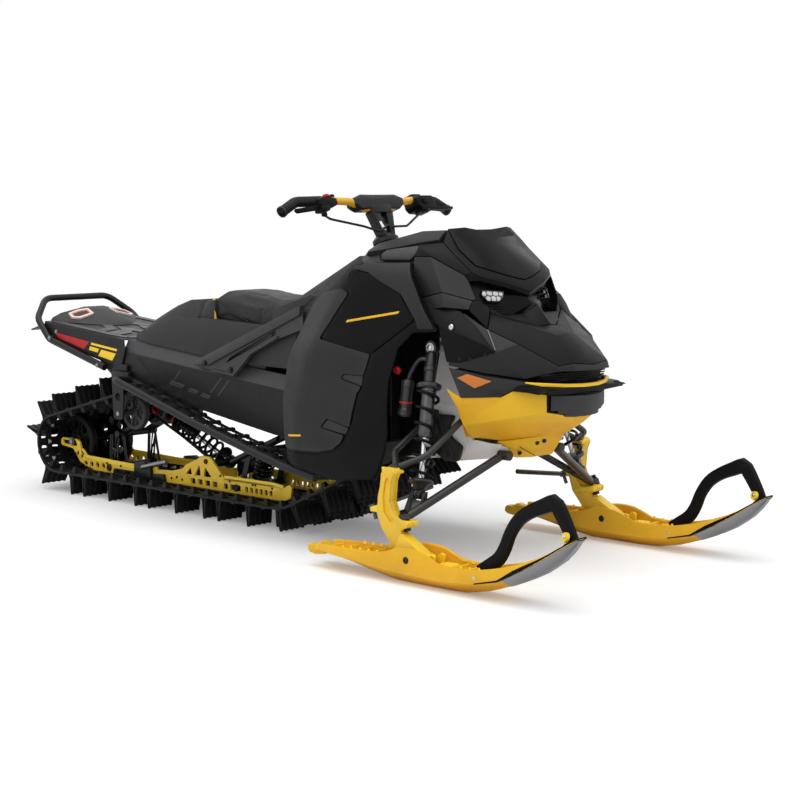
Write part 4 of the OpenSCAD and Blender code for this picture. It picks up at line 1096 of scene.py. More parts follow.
def ski_shape():
    body = soften(loft([ski_ring(x) for x in SKI_STATIONS]), 1.3, 2, 24)
    ribs = [block((x, -46, between(SKI_CREASE, x) + 4), (x + 5, 46, between(SKI_RIM, x) - 9), 1)
            for x in (-360, -300, -240, -180, 150, 200, 250)]
    ribs += [block((x0, -24, 40), (x1, 24, 74), 3) for x0, x1 in ((92, 140),)]
    ribs.append(block((-150, -24, 40), (-102, 24, 58), 3))
    walls = [plate([(44, 52), (50, 84), (70, 98), (84, 92), (78, 52)], y, y + 7, "y", edge=1.5) for y in (18, -25)]
    pins = []
    for x in [-270 + 36 * k for k in range(5)] + [136 + 34 * k for k in range(5)]:
        top = between(SKI_RIM, x)
        for y in (-48, 48):
            pins.append(hull([(x - 7, y - 3, top - 6), (x + 7, y - 3, top - 6), (x - 7, y + 3, top - 6), (x + 7, y + 3, top - 6),
                              (x - 3, y, top + 6), (x + 4, y, top + 6)], 1))
    lobes = []
    for y in (12, -38):
        lobe = rounded([(-434, 50), (-430, 64), (-420, 71), (-404, 68), (-388, 64), (-366, 68), (-356, 44), (-400, 38), (-424, 42)],
                       7, 3)
        lobes.append(plate(lobe, y, y + 26, "y", edge=5, segments=2))
    return joined(body, *ribs, *walls, *pins, *lobes)


def tip_ring(x):
    """The sole's skin under the tip, from one edge over the keel to the other."""
    half = between(SKI_HALF, x) + 0.4
    keel, crease = between(SKI_KEEL, x), between(SKI_CREASE, x)
    bow = keel + 0.25 * (crease - keel)
    down = [(half, crease - 0.4), (half * 0.35, bow - 1.4), (11, keel - 1.2)]
    up = [(9, keel + 3), (half * 0.35, bow + 3), (half - 3, crease + 2)]
    return [(x, y, z) for y, z in down] + [(x, -y, z) for y, z in down[::-1]] + [
        (x, -y, z) for y, z in up[::-1]] + [(x, y, z) for y, z in up]


def ski_tips():
    """Grey sole under the tip, and the dark strip along its edge."""
    stations = [345, 360, 400, 440, 480, 515, 545, 570, 588, 597]
    sole = loft([tip_ring(x) for x in stations[1:]])
    edge_low = []
    for x in [262, 300] + stations:
        half = between(SKI_HALF, x) + 0.1
        crease, rim = between(SKI_CREASE, x), between(SKI_RIM, x)
        high = between([(262, 0.04), (345, 0.1), (400, 0.45), (500, 0.74), (570, 1.02), (600, 1.04)], x)
        top = crease + (rim - crease) * high + 0.6
        edge_low.append([(x, half, crease - 1.5), (x, half * (1 - 0.07 * high) + 0.6, top),
                         (x, half * (1 - 0.07 * high) - 3.4, top), (x, half - 4, crease - 1.5)])
    strip = soften(loft(edge_low), 0.6)
    cap = hull([(x, side * y, z) for side in (1, -1) for x, y, z in (
        (560, 36, 190), (597.5, 24, 208), (598, 22, 214), (566, 36, 197), (598.6, 0, 212), (560, 0, 196))], 1.5)
    return sole, joined(strip, cap)


LOOP_PATH = [(244, 70), (276, 92), (310, 118), (332, 152), (350, 194), (380, 236), (420, 264), (466, 284), (500, 299),
             (518, 290), (540, 256), (560, 222), (572, 196)]


def handle_shape():
    """A moulded handle: flat straps with a rib down the middle, kinked over its top."""
    path = curved([(x, 0, z) for x, z in LOOP_PATH[:9]], 3) + curved([(x, 0, z) for x, z in LOOP_PATH[9:]], 3)
    section = [(-20, -14), (20, -14), (23, 2), (11, 15), (-11, 15), (-23, 2)]
    size = [between([(252, 1), (350, 0.84), (430, 0.92), (500, 1.08), (574, 0.8)], point[0]) for point in path]
    return soften(sweep(path, section, (0, 1, 0), size), 1.6, 2)


def ski_set(side):
    word = "left" if side > 0 else "right"
    body = f"ski_{word}_body"

    def own(shape):
        return moved(shape, y=side * STANCE)

    piece(own(ski_shape()), f"ski_{word}", YELLOW_PLASTIC, body, hides=(f"ski_{word}",))
    sole, strip = ski_tips()
    piece(own(sole), f"ski_sole_{word}", GREY_PLASTIC, body)
    piece(own(both_sides(strip)), f"ski_edge_{word}", GLOSS_BLACK, body)
    piece(own(handle_shape()), f"ski_handle_{word}", BLACK, body, hides=(f"ski_loop_{word}",))
    black = [lathe([(0, 0), (11, 0), (11, 3), (8, 6), (0, 6)], (-2, 54.6 * s, 76), (-2, 55.6 * s, 76), 16) for s in (1, -1)]
    black.append(across(0, 80, 7, -56, 56, 12))
    piece(own(joined(*black)), f"ski_bolt_{word}", BLACK_COAT, body)
    plated = [bolt((262, 55.6 * s, 62), (0, s, 0), 6, 4) for s in (1, -1)]
    plated += [bolt((556, 23 * s, 214), (-0.3, s, 0.3), 4.6, 3) for s in (1, -1)]
    bosses = [lathe([(0, 0), (15, 0), (13, 8), (0, 9)], (556, 14 * s, 210), (555.7, 15 * s, 210.3), 16) for s in (1, -1)]
    piece(own(joined(*bosses)), f"tip_bosses_{word}", YELLOW_PLASTIC, body)
    piece(own(joined(*plated)), f"ski_screws_{word}", STEEL, body)


def spindle(side):
    """A cast upright: a flanged blade with an open channel, two ball-joint shelves and a foot over the ski bolt."""
    word = "left" if side > 0 else "right"
    outline = [(-128, 334), (-104, 330), (-98, 318), (-110, 292), (-116, 230), (-104, 203), (-76, 186), (-40, 176),
               (-44, 160), (-70, 150), (-58, 118), (-26, 98), (34, 90), (40, 78), (26, 62), (-26, 58), (-60, 74), (-98, 92),
               (-118, 116), (-148, 150), (-164, 200), (-161, 244), (-152, 276), (-148, 312), (-140, 328)]
    channel = [(-124, 304), (-112, 296), (-122, 232), (-108, 192), (-92, 178), (-112, 168), (-138, 196), (-142, 246), (-134, 290)]
    web = plate(rounded(outline, 7, 2), STANCE - 20, STANCE + 2, "y", edge=3, segments=2)
    flange = plate(rounded(outline, 7, 2), STANCE + 2, STANCE + 8, "y", [rounded(channel, 6, 2)], 2.4, 2)
    inner = plate(rounded(outline, 7, 2), STANCE - 26, STANCE - 20, "y", [rounded(channel, 6, 2)], 2.4, 2)
    shelf_top = hull([(-150, STANCE - 40, 324), (-96, STANCE - 40, 322), (-150, STANCE + 6, 334), (-100, STANCE + 6, 330),
                      (-150, STANCE - 40, 314), (-98, STANCE - 40, 312), (-148, STANCE + 6, 318), (-104, STANCE + 6, 314)],
                     4, 2)
    shelf_low = hull([(-120, STANCE - 46, 170), (-44, STANCE - 46, 178), (-44, STANCE - 2, 178), (-120, STANCE, 168),
                      (-120, STANCE - 46, 154), (-44, STANCE - 46, 160), (-44, STANCE - 2, 160), (-110, STANCE, 140)], 4, 2)
    arm = hull([(-150, STANCE - 14, 220), (-150, STANCE + 6, 220), (-196, STANCE - 14, 206), (-196, STANCE + 6, 206),
                (-196, STANCE - 14, 192), (-196, STANCE + 6, 192), (-150, STANCE - 14, 196), (-150, STANCE + 6, 192)], 3, 2)
    foot = hull([(-96, STANCE - 22, 96), (-60, STANCE - 24, 140), (-60, STANCE + 16, 140), (30, STANCE - 20, 92),
                 (30, STANCE + 20, 92), (38, STANCE, 76), (24, STANCE - 20, 58), (24, STANCE + 20, 58), (-24, STANCE - 20, 56),
                 (-24, STANCE + 20, 56), (-84, STANCE + 18, 96), (-50, STANCE + 20, 70), (-50, STANCE - 20, 70)], 5, 2)
    prong = hull([(26, STANCE - 14, 92), (26, STANCE + 14, 92), (62, STANCE - 10, 92), (66, STANCE + 10, 88),
                  (62, STANCE, 76), (26, STANCE - 14, 72), (26, STANCE + 14, 72)], 3, 2)
    shape = joined(web, flange, inner, shelf_top, shelf_low, arm, foot, prong)
    shape = shape if side > 0 else other_side(shape)
    body = f"spindle_{word}_body"
    piece(shape, f"spindle_{word}", YELLOW_CAST, body, hides=(f"spindle_{word}",))
    parts = [lathe([(0, -26), (11, -26), (12, -14), (9, -8), (9, 8), (0, 8)], (-66, STANCE - 12, 170), (-72, STANCE - 12, 186), 12),
             lathe([(0, -20), (10, -20), (12, -8), (9, 0), (9, 12), (0, 12)], (-124, STANCE - 22, 312), (-128, STANCE - 22, 324), 12)]
    nuts = joined(*parts)
    piece(nuts if side > 0 else other_side(nuts), f"spindle_nuts_{word}", BLACK_COAT, body)


for side in (1, -1):
    ski_set(side)
    spindle(side)


# ---------------------------------------------------------------- track
BELT_LOW = 83                    # upper face of the belt's ground run
WHEELS = [(-2150, 188, 105), (-936, 313, 230), (-558, 340, 97), (-1741, 338, 68)]
BELT = 8


def leave_angle(i):
    a, b = WHEELS[i], WHEELS[(i + 1) % 4]
    ahead = (b[0] - a[0], b[1] - a[1])
    return math.atan2(ahead[1], ahead[0]) - math.acos((a[2] - b[2]) / math.hypot(*ahead))


LEAVE = [leave_angle(i) for i in range(4)]
STRETCHES = []
for i, (wheel_x, wheel_z, wheel_r) in enumerate(WHEELS):
    far = WHEELS[(i + 1) % 4]
    turn = (LEAVE[i] - LEAVE[i - 1]) % math.tau
    STRETCHES.append((True, i, (wheel_r + BELT) * turn))
    STRETCHES.append((False, i, math.sqrt((far[0] - wheel_x) ** 2 + (far[1] - wheel_z) ** 2 - (far[2] - wheel_r) ** 2)))
LOOP = sum(stretch[2] for stretch in STRETCHES)
PITCHES = round(LOOP / 76.2)
PITCH = LOOP / PITCHES


def track_spot(s):
    """Place on the belt's outer face and the angle that faces outwards there."""
    s %= LOOP
    for on_wheel, i, length in STRETCHES:
        if s <= length:
            break
        s -= length
    x, z, radius = WHEELS[i]
    radius += BELT
    angle = LEAVE[i - 1] + s / radius if on_wheel else LEAVE[i]
    shift = 0 if on_wheel else s
    return (x + radius * math.cos(angle) - shift * math.sin(angle),
            z + radius * math.sin(angle) + shift * math.cos(angle), angle)


def wrapped(shape, middle):
    """Bends a flat shape (along, across, out) round the loop."""
    for v in shape.verts:
        x, z, angle = track_spot(middle + v.co.x)
        v.co = (x + v.co.z * math.cos(angle), v.co.y, z + v.co.z * math.sin(angle))
    return shape


def track_frame(middle):
    x, z, angle = track_spot(middle)
    return Matrix(((-math.sin(angle), 0, math.cos(angle), x), (0, 1, 0, 0), (math.cos(angle), 0, math.sin(angle), z), (0, 0, 0, 1)))


def window(middle_y, half_y, half_s):
    return rounded([(-half_s, middle_y - half_y), (half_s, middle_y - half_y), (half_s, middle_y + half_y),
                    (-half_s, middle_y + half_y)], 9, 2)


def belt_cell():
    half = PITCH / 2
    outline = [(-half, -203), (half, -203), (half, 203), (-half, 203)]
    gaps = [window(side * 124, 17, 22) for side in (1, -1)] + [window(side * 176, 14, 24) for side in (1, -1)]
    shape = plate(outline, -BELT, 0, "z", gaps)
    for s in (-30, -22, -14, -6, 6, 14, 22, 30):
        bmesh.ops.bisect_plane(shape, geom=list(shape.verts) + list(shape.edges) + list(shape.faces),
                               plane_co=(s, 0, 0), plane_no=(1, 0, 0))
    return shape


def paddle(low, high):
    """A thin wall with a thick foot and ribs on both faces; the ribs stand higher than the wall."""
    wall = plate([(-6, -1), (-2.5, 20), (-2, 73), (2, 73), (2.5, 20), (6, -1)], low, high)
    count = max(2, round((high - low) / 23))
    ribs = []
    for k in range(count):
        y = low + (high - low - 8) * k / (count - 1)
        ribs.append(plate([(-16, -1), (-9, 14), (-4.5, 68), (-3, 75), (3, 75), (4.5, 68), (9, 14), (16, -1)], y, y + 8))
    foot = plate([(-15, -1), (-9, 7), (9, 7), (15, -1)], low, high)
    return joined(wall, foot, *ribs)


def cross_bar():
    ridge = plate([(-10, -1), (-6, 5), (6, 5), (10, -1)], -202, 202)
    cogs = [hull([(-13, y - 12, -7), (13, y - 12, -7), (-13, y + 12, -7), (13, y + 12, -7), (-5, y - 6, -29), (5, y - 6, -29),
                  (-5, y + 6, -29), (5, y + 6, -29)]) for y in (-180, -40, 40, 180)]
    return joined(ridge, *cogs)


def clip():
    """A folded steel clip round the belt between two windows."""
    return joined(*(block((-10, side * 149 - 7, -BELT - 2), (10, side * 149 + 7, 2), 1) for side in (1, -1)),
                  *(hull([(-9, side * 150 - 6, -8), (9, side * 150 - 6, -8), (-9, side * 150 + 6, -8), (9, side * 150 + 6, -8),
                          (-4, side * 150, -20), (4, side * 150, -20)], 1) for side in (1, -1)))


def make_track():
    cells = [wrapped(belt_cell(), (k + 0.5) * PITCH) for k in range(PITCHES)]
    piece(joined(*cells), "track_belt", TRACK_RUBBER, hides=("track",), smooth=40)
    places = [track_frame((k + 0.5) * PITCH) for k in range(PITCHES)]
    piece(copies(cross_bar(), places), "track_bars", TRACK_RUBBER)
    wide = [place for k, place in enumerate(places) if k % 5 in (0, 1, 3)]
    narrow = [place for k, place in enumerate(places) if k % 5 in (2, 4)]
    outer = copies(joined(paddle(92, 201), paddle(-201, -92), paddle(-42, 42)), wide)
    inner = copies(joined(paddle(-134, -22), paddle(22, 134)), narrow)
    piece(joined(outer, inner), "track_paddles", TRACK_RUBBER, smooth=25)
    piece(copies(clip(), [track_frame(k * PITCH) for k in range(PITCHES)]), "track_clips", DULL_STEEL)


make_track()


# ---------------------------------------------------------------- skid frame
def wheel_shape(x, z, radius, low, high, openings, reach=0.6, hole=0.17):
    """A moulded wheel with a rubber tyre, a drilled disc, spokes and a hub."""
    wide = high - low
    start, end = (x, low, z), (x, high, z)
    tyre = lathe([(radius * 0.86, 0), (radius - 4, 0), (radius, 4), (radius, wide - 4), (radius - 4, wide), (radius * 0.86, wide)],
                 start, end, 48, closed=True)
    rim = lathe([(radius * 0.78, 2), (radius * 0.87, 2), (radius * 0.87, wide - 2), (radius * 0.78, wide - 2)], start, end, 48,
                closed=True)
    drilled = [circle_at(x + radius * reach * math.cos(k * math.tau / openings),
                         z + radius * reach * math.sin(k * math.tau / openings), radius * hole, 12) for k in range(openings)]
    disc = plate(circle_at(x, z, radius * 0.8, 40), low + wide * 0.35, low + wide * 0.62, "y", drilled, 0.8)
    hub = lathe([(0, -3), (radius * 0.2, -3), (radius * 0.28, 2), (radius * 0.28, wide - 2), (radius * 0.2, wide + 3),
                 (0, wide + 3)], start, end, 24)
    spokes = []
    for k in range(openings):
        a = (k + 0.5) * math.tau / openings
        u, v = math.cos(a), math.sin(a)
        spokes.append(hull([(x + u * r - v * w, y, z + v * r + u * w) for r in (radius * 0.22, radius * 0.8)
                            for w in (-2.5, 2.5) for y in (low + 3, high - 3)]))
    return joined(tyre, rim, disc, hub, *spokes)


def square_at(x, z, wide, high):
    return rounded([(x - wide / 2, z - high / 2), (x + wide / 2, z - high / 2), (x + wide / 2, z + high / 2),
                    (x - wide / 2, z + high / 2)], 3, 2)


RAIL_LOW = 107


def rails():
    b = BELT_LOW
    outline = [(-2226, 168), (-2228, 188), (-2218, 198), (-2124, 198), (-2110, 190), (-2100, b + 78), (-2066, b + 50),
               (-1800, b + 44), (-1693, b + 45), (-1640, b + 46), (-1560, b + 50), (-1500, b + 64), (-1478, b + 82), (-1424, b + 104),
               (-1388, b + 122), (-1348, b + 122), (-1330, b + 108), (-1272, b + 53), (-1180, b + 55), (-1018, b + 55),
               (-965, b + 50), (-935, b + 66), (-922, b + 58), (-928, b + 20), (-962, b + 5), (-1590, b + 5), (-1594, b + 26),
               (-1900, b + 26), (-1906, b + 5), (-2020, b + 5), (-2050, b + 12), (-2108, b + 30), (-2136, b + 62), (-2150, 160)]
    gaps = [rounded([(-2212, 176), (-2212, 190), (-2132, 190), (-2124, 172), (-2160, 170), (-2176, 176)], 5, 2)]
    gaps += [circle_at(-2072 + 36 * k, b + 27, 11, 14) for k in range(5)]
    gaps.append(rounded([(-2134, 140), (-2118, 158), (-2112, 146), (-2124, 128)], 4, 2))
    gaps.append(rounded([(-2106, 132), (-2096, 148), (-2086, 136), (-2098, 122)], 4, 2))
    gaps.append(rounded([(-1482, b + 46), (-1452, b + 76), (-1446, b + 48)], 4, 2))
    gaps.append(rounded([(-1432, b + 46), (-1404, b + 92), (-1398, b + 48)], 4, 2))
    gaps.append(rounded([(-1382, b + 46), (-1374, b + 84), (-1336, b + 48)], 4, 2))
    gaps.append(circle_at(-1368, b + 104, 8, 14))
    gaps += [square_at(-1440 + 40 * k, b + 25, 25, 21) for k in range(4)]
    gaps += [square_at(-1262 + 34 * k, b + 25, 21, 21) for k in range(3)]
    gaps += [square_at(-1152 + 25 * k, b + 25, 15, 20) for k in range(6)]
    side = plate(rounded(outline, 9, 2), RAIL_LOW, RAIL_LOW + 8, "y", gaps, 1.2)
    flange = [sweep([(x, RAIL_LOW + 5, z) for x, z in line], [(-3, -8), (3, -8), (3, 8), (-3, 8)], (0, 0, 1)) for line in
              ([(-2096, b + 76), (-2064, b + 51), (-1800, b + 45), (-1640, b + 47)], [(-1270, b + 55), (-1018, b + 57), (-966, b + 52)])]
    return both_sides(joined(side, *flange))


def rail_bolts():
    spots = [(-1600, 60), (-1560, 24), (-1530, 30), (-1500, 24), (-1290, 60), (-1240, 46), (-1120, 46), (-1106, 46), (-1020, 44),
             (-2140, 62), (-1940, 40), (-1856, 38)]
    return both_sides(joined(*(lathe([(0, 0), (4.6, 0), (4.6, 2), (3, 3.4), (0, 3.4)], (x, RAIL_LOW + 8, BELT_LOW + z),
                                     (x, RAIL_LOW + 9, BELT_LOW + z), 8) for x, z in spots)))


def rail_blacks():
    b = BELT_LOW
    slider = plate([(-2050, b + 10), (-2020, b), (-964, b), (-930, b + 12), (-934, b + 15), (-966, b + 6), (-2018, b + 6),
                    (-2046, b + 15)], RAIL_LOW - 10, RAIL_LOW + 20, "y", edge=1)
    gaps = [square_at(-1870 + 52 * k, b + 15, 34, 9) for k in range(5)]
    web = plate([(-1904, b + 5), (-1592, b + 5), (-1592, b + 28), (-1904, b + 28)], RAIL_LOW + 1, RAIL_LOW + 7, "y", gaps)
    block_one = plate(rounded([(-1762, b + 6), (-1762, b + 62), (-1700, b + 70), (-1668, b + 54), (-1660, b + 8)], 8, 3),
                      RAIL_LOW + 4, RAIL_LOW + 22, "y", edge=2, segments=2)
    block_two = plate(rounded([(-1660, b + 4), (-1660, b + 30), (-1596, b + 34), (-1586, b + 6)], 6, 3),
                      RAIL_LOW + 4, RAIL_LOW + 18, "y", edge=2, segments=2)
    plug = plate(rounded([(-2200, 177), (-2200, 188), (-2150, 188), (-2146, 174)], 5, 2), RAIL_LOW - 4, RAIL_LOW + 12, "y", edge=1.5)
    caps = [across(x, z, r, RAIL_LOW - 12, RAIL_LOW + 14, 16, 1.5) for x, z, r in ((-1925, 109, 14), (-1205, 109, 13), (-1367, 187, 9))]
    return both_sides(joined(slider, web, block_one, block_two, plug, *caps))


def shock(start, end, eye_a, eye_b, body_r, rod_r, share=0.56):
    """Eye, body, rod and eye of a damper that stands across the y axis."""
    start, end = Vector(start), Vector(end)
    ahead = (end - start).normalized()
    span = (end - start).length
    body = lathe([(0, 14), (body_r * 0.7, 14), (body_r, 26), (body_r, span * share - 6), (body_r * 0.8, span * share),
                  (0, span * share)], start, end, 24)
    shaft = lathe([(0, span * share - 2), (rod_r, span * share - 2), (rod_r, span - 24), (rod_r * 1.7, span - 20),
                   (rod_r * 1.7, span - 8), (0, span - 8)], start, end, 16)
    eyes = [lathe([(0, -13), (r, -13), (r + 2, -9), (r + 2, 9), (r, 13), (0, 13)], spot, spot + Vector((0, 1, 0)), 20)
            for spot, r in ((start, eye_a), (end, eye_b))]
    return joined(body, *eyes), shaft


def skid():
    b = BELT_LOW
    piece(rails(), "rails", YELLOW_CAST, hides=("slide_rails",))
    piece(rail_blacks(), "rail_sliders", BLACK_COAT)
    piece(rail_bolts(), "rail_bolts", BLACK_COAT)
    tubes = [bar((-1712, 128, b + 50), (-1572, 128, b + 84), 9.5, 18, 1.5)]
    piece(both_sides(joined(*tubes)), "rail_struts", DULL_STEEL)
    rear = both_sides(wheel_shape(-2150, 188, 104.3, 74, 100, 7))
    axle = [across(-2150, 188, 11, -124, 124, 20), *(across(-2150, 188, 18, s * 97, s * 106, 24, 1) for s in (1, -1))]
    piece(joined(rear, *axle), "rear_wheels", BLACK, hides=("rear_idlers",))
    nuts = both_sides(joined(bolt((-2150, 122, 188), (0, 1, 0), 11, 7)))
    upper = both_sides(wheel_shape(-1741, 338, 67.3, 118, 144, 5, 0.62, 0.13))
    inner = both_sides(joined(wheel_shape(-1741, 338, 60, 24, 44, 5, 0.62, 0.13)))
    hang = [plate(rounded([(-1767, 316), (-1715, 316), (-1700, 552), (-1782, 552)], 14, 3), 207, 215, "y",
                  [circle_at(-1741, 400, 14, 16), circle_at(-1741, 460, 16, 16)], 1)]
    piece(joined(upper, inner, across(-1741, 338, 11, -212, 212, 20)), "upper_wheels", DARK_DISC,
          hides=("upper_idlers",))
    piece(both_sides(joined(*hang)), "wheel_hangers", BLACK_COAT)
    piece(joined(nuts, both_sides(bolt((-1741, 212, 338), (0, 1, 0), 9, 5))), "axle_nuts", DULL_STEEL)
    front = both_sides(wheel_shape(-558, 340, 90, 60, 90, 6))
    teeth = []
    for k in range(8):
        a = k * math.tau / 8
        teeth.append(hull([(-558 + r * math.cos(a + w), y, 340 + r * math.sin(a + w)) for r, w in ((86, 0.1), (86, -0.1), (97, 0.05), (97, -0.05))
                           for y in (62, 88)]))
    piece(joined(front, both_sides(joined(*teeth)), across(-558, 340, 14, -216, 216, 20)), "drive_wheels", BLACK,
          hides=("drive_axle",))
    arms = [both_sides(bar((-1741, 60, 318), (-1905, 60, 240), 14, 18)),
            both_sides(lathe([(0, 0), (17, 0), (17, 22), (0, 22)], (-1741, 60, 322), (-1760, 60, 312), 20)),
            across(-1905, 236, 13, -94, 94, 18, 1), across(-1925, 109, 13, -107, 107, 18),
            both_sides(lathe([(12, -13), (22, -13), (22, 13), (12, 13)], (-1741, 60, 338), (-1741, 61, 338), 24, closed=True))]
    legs = [plate([(-1916, 240), (-1896, 240), (-1908, 106), (-1934, 106)], 86, 91, "y",
                  [[(-1912, 222), (-1902, 222), (-1914, 180), (-1922, 180)], [(-1916, 168), (-1908, 168), (-1916, 128), (-1924, 128)]],
                  0.8), bar((-1888, 78, 232), (-1860, 78, 104), 5, 10), bar((-1940, 92, 232), (-1946, 92, 112), 6, 10)]
    piece(joined(*arms, both_sides(joined(*legs))), "rear_arm_tubes", BLACK_COAT, hides=("rear_arm",))
    front_bits = [across(-840, 372, 14, -216, 216, 20), both_sides(bar((-840, 80, 372), (-1160, 80, 237), 13, 18)),
                  across(-1160, 237, 13, -96, 96, 18, 1), across(-1205, 109, 13, -107, 107, 18), across(-1367, 175, 13, -107, 107, 18),
                  both_sides(plate([(-1172, 240), (-1148, 240), (-1192, 106), (-1218, 106)], 86, 93, "y", edge=1)),
                  both_sides(bar((-1010, 96, 300), (-1250, 96, 196), 9, 12))]
    piece(joined(*front_bits), "front_arm_tubes", BLACK_COAT, hides=("front_arm",))
    rs_a, rs_b = Vector((-1741, 0, 338)), Vector((-1367, 0, 175))
    fs_a, fs_b = Vector((-1160, 0, 237)), Vector((-1205, 0, 109))
    one, shaft_one = shock(rs_a, rs_b, 19, 22, 19, 9, 0.5)
    two, shaft_two = shock(fs_a, fs_b, 22, 22, 16, 7, 0.5)
    seats = []
    for a, b_end, near, far in ((rs_a, rs_b, 0.25, 0.9), (fs_a, fs_b, 0.2, 0.8)):
        ahead = (b_end - a).normalized()
        for share in (near, far):
            spot = a.lerp(b_end, share)
            seats.append(lathe([(0, -4), (33, -4), (38, 0), (38, 5), (0, 5)], spot, spot + ahead, 28))
    tank = lathe([(0, 0), (22, 0), (26, 5), (26, 88), (21, 95), (0, 95)], (-1262, 40, 176), (-1340, 40, 150), 24)
    piece(joined(one, two, *seats, tank), "skid_dampers", BLACK_COAT, hides=("skid_shocks",))
    piece(joined(shaft_one, shaft_two), "skid_shafts", STEEL)
    springs = joined(coil(rs_a.lerp(rs_b, 0.27), rs_a.lerp(rs_b, 0.88), 34, 5.2, 7), coil(fs_a.lerp(fs_b, 0.22), fs_a.lerp(fs_b, 0.78), 32, 4.6, 4.5))
    piece(springs, "skid_coils", GLOSS_BLACK, hides=("skid_springs",), smooth=60)
    rings = [lathe([(12, 0), (18, 0), (18, 8), (12, 8)], (-1716, s * 60, 340), (-1704, s * 60, 348), 20, closed=True) for s in (1, -1)]
    rings.append(lathe([(19, 0), (23, 0), (23, 9), (19, 9)], rs_a.lerp(rs_b, 0.2), rs_b, 20, closed=True))
    piece(joined(*rings), "skid_red_rings", RED)
    strap = both_sides(sweep([(-1672, 92, 322), (-1520, 92, 262), (-1385, 92, 200)], [(-1.5, -7), (1.5, -7), (1.5, 7), (-1.5, 7)], (0, 1, 0)))
    piece(strap, "limiter_straps", SOFT_RUBBER)


skid()


# ---------------------------------------------------------------- tunnel, boards and tail
def deck(x):
    return 604 + (-1569 - x) * 0.092


def deck_frame(x):
    return Matrix.Translation((x, 0, deck(x))) @ Matrix.Rotation(math.atan(0.092), 4, "Y")


def stripe(points, y=222.2):
    return plate(points, y, y + 0.7)


def tunnel_shapes():
    low = [(-352, 306), (-889, 336), (-1519, 428), (-1760, 476), (-1835, 530), (-2080, 580), (-2150, 612), (-2172, 640)]
    top = [(-2172, deck(-2172) - 3), (-1692, deck(-1692) - 3), (-1688, deck(-1688) - 42), (-352, deck(-352) - 47)]
    side = plate([(-352, 306)] + low[1:] + top, 217, 222, "y", edge=1.2)
    ridge = [sweep([(x, 222.5, z) for x, z in line], [(-2, -2), (2, -2), (0.8, 1.6), (-0.8, 1.6)], (0, 1, 0)) for line in (
        [(-1640, 574), (-1610, 552), (-1542, 501), (-1482, 488), (-1300, 452)], [(-1480, 442), (-900, 352)])]
    pads = [plate([(x, z), (x + w, z - w * 0.18), (x + w - 14, z - 13 - w * 0.18), (x - 14, z - 13)], 221, 224, "y", edge=1)
            for x, z, w in ((-1424, 484, 74), (-1322, 464, 46), (-1256, 452, 46))]
    # paler slanting strips laid flat on the wall: painted sheen, not relief
    sheen_strips = [plate([(x, z), (x + 9, z), (x - 50, z - 58), (x - 59, z - 58)], 221, 222.8) for x, z in ((-1160, 512), (-1120, 506), (-1380, 520))]
    rivets = [lathe([(0, 0), (4, 0), (3, 1.6), (0, 1.8)], (x, 222, low_z), (x, 223, low_z), 8)
              for x, low_z in [(-1500 + 90 * k, 444 - 13.5 * k) for k in range(7)]]
    deck_plate = plate([(-2172, -219), (-1692, -219), (-1690, -198), (-352, -198), (-352, 0), (-2172, 0)], -4, 0, "z", edge=1)
    for v in deck_plate.verts:
        v.co.z += deck(v.co.x) - 0.5
    return joined(side, *ridge, *rivets, other_side(deck_plate)), joined(*pads, *sheen_strips)


# The tunnel's bevel strip; its paler coat is a painted highlight for the light this turned edge catches.
def bevel_band():
    rings = []
    for x in (-1692, -352):
        z = deck(x)
        rings.append([(x, 222.4, z - 46), (x, 199, z + 0.4), (x, 194, z - 2), (x, 217, z - 46)])
    return loft(rings)


def deck_marks():
    """Raised chevrons and a swage on the deck behind the seat."""
    marks = []
    for outline in ([(-2050, 60), (-1940, 110), (-1900, 186), (-1860, 186), (-1890, 96), (-1990, 40)],
                    [(-1950, 50), (-1870, 90), (-1838, 186), (-1770, 186), (-1800, 96), (-1846, 60), (-1700, 40), (-1700, 20), (-1880, 20)],
                    [(-1780, 70), (-1740, 96), (-1722, 180), (-1700, 180), (-1700, 60)],
                    [(-2150, 176), (-1720, 176), (-1712, 196), (-1800, 210), (-2150, 210)]):
        marks.append(plate(rounded(outline, 6, 2), 0, 4, "z", edge=1.6))
    shape = both_sides(joined(*marks))
    for v in shape.verts:
        v.co.z += deck(v.co.x) - 0.6
    return shape


BOARD = [(-1600, 486), (-1560, 478), (-1136, 362), (-712, 262), (-560, 240)]


def board_shape():
    outline = [(-1556, 221), (-560, 221), (-560, 346), (-1556, 346)]
    gaps = []
    for k in range(13):
        x = -1526 + 73 * k
        for low, high in ((242, 272), (296, 326)):
            teeth = [(x + 8 * i, high - (4 if i % 2 else 0)) for i in range(7)]
            gaps.append(teeth[::-1] + [(x + 8 * i + 2, low + (4 if i % 2 else 0)) for i in range(7)])
    grid = plate(outline, -3, 1, "z", gaps)
    for x in (-1136, -712):
        bmesh.ops.bisect_plane(grid, geom=list(grid.verts) + list(grid.edges) + list(grid.faces), plane_co=(x, 0, 0),
                               plane_no=(1, 0, 0))
    teeth = []
    for k in range(14):
        for y in (230, 284, 336):
            teeth.append(plate([(-1538 + 73 * k, 0), (-1534 + 73 * k, 9), (-1526 + 73 * k, 9), (-1522 + 73 * k, 0)], y - 7, y + 7))
    shape = joined(grid, *teeth)
    for v in shape.verts:
        v.co.z += between(BOARD, v.co.x) - 4 - (346 - min(v.co.y, 346)) * 0.1
    return shape


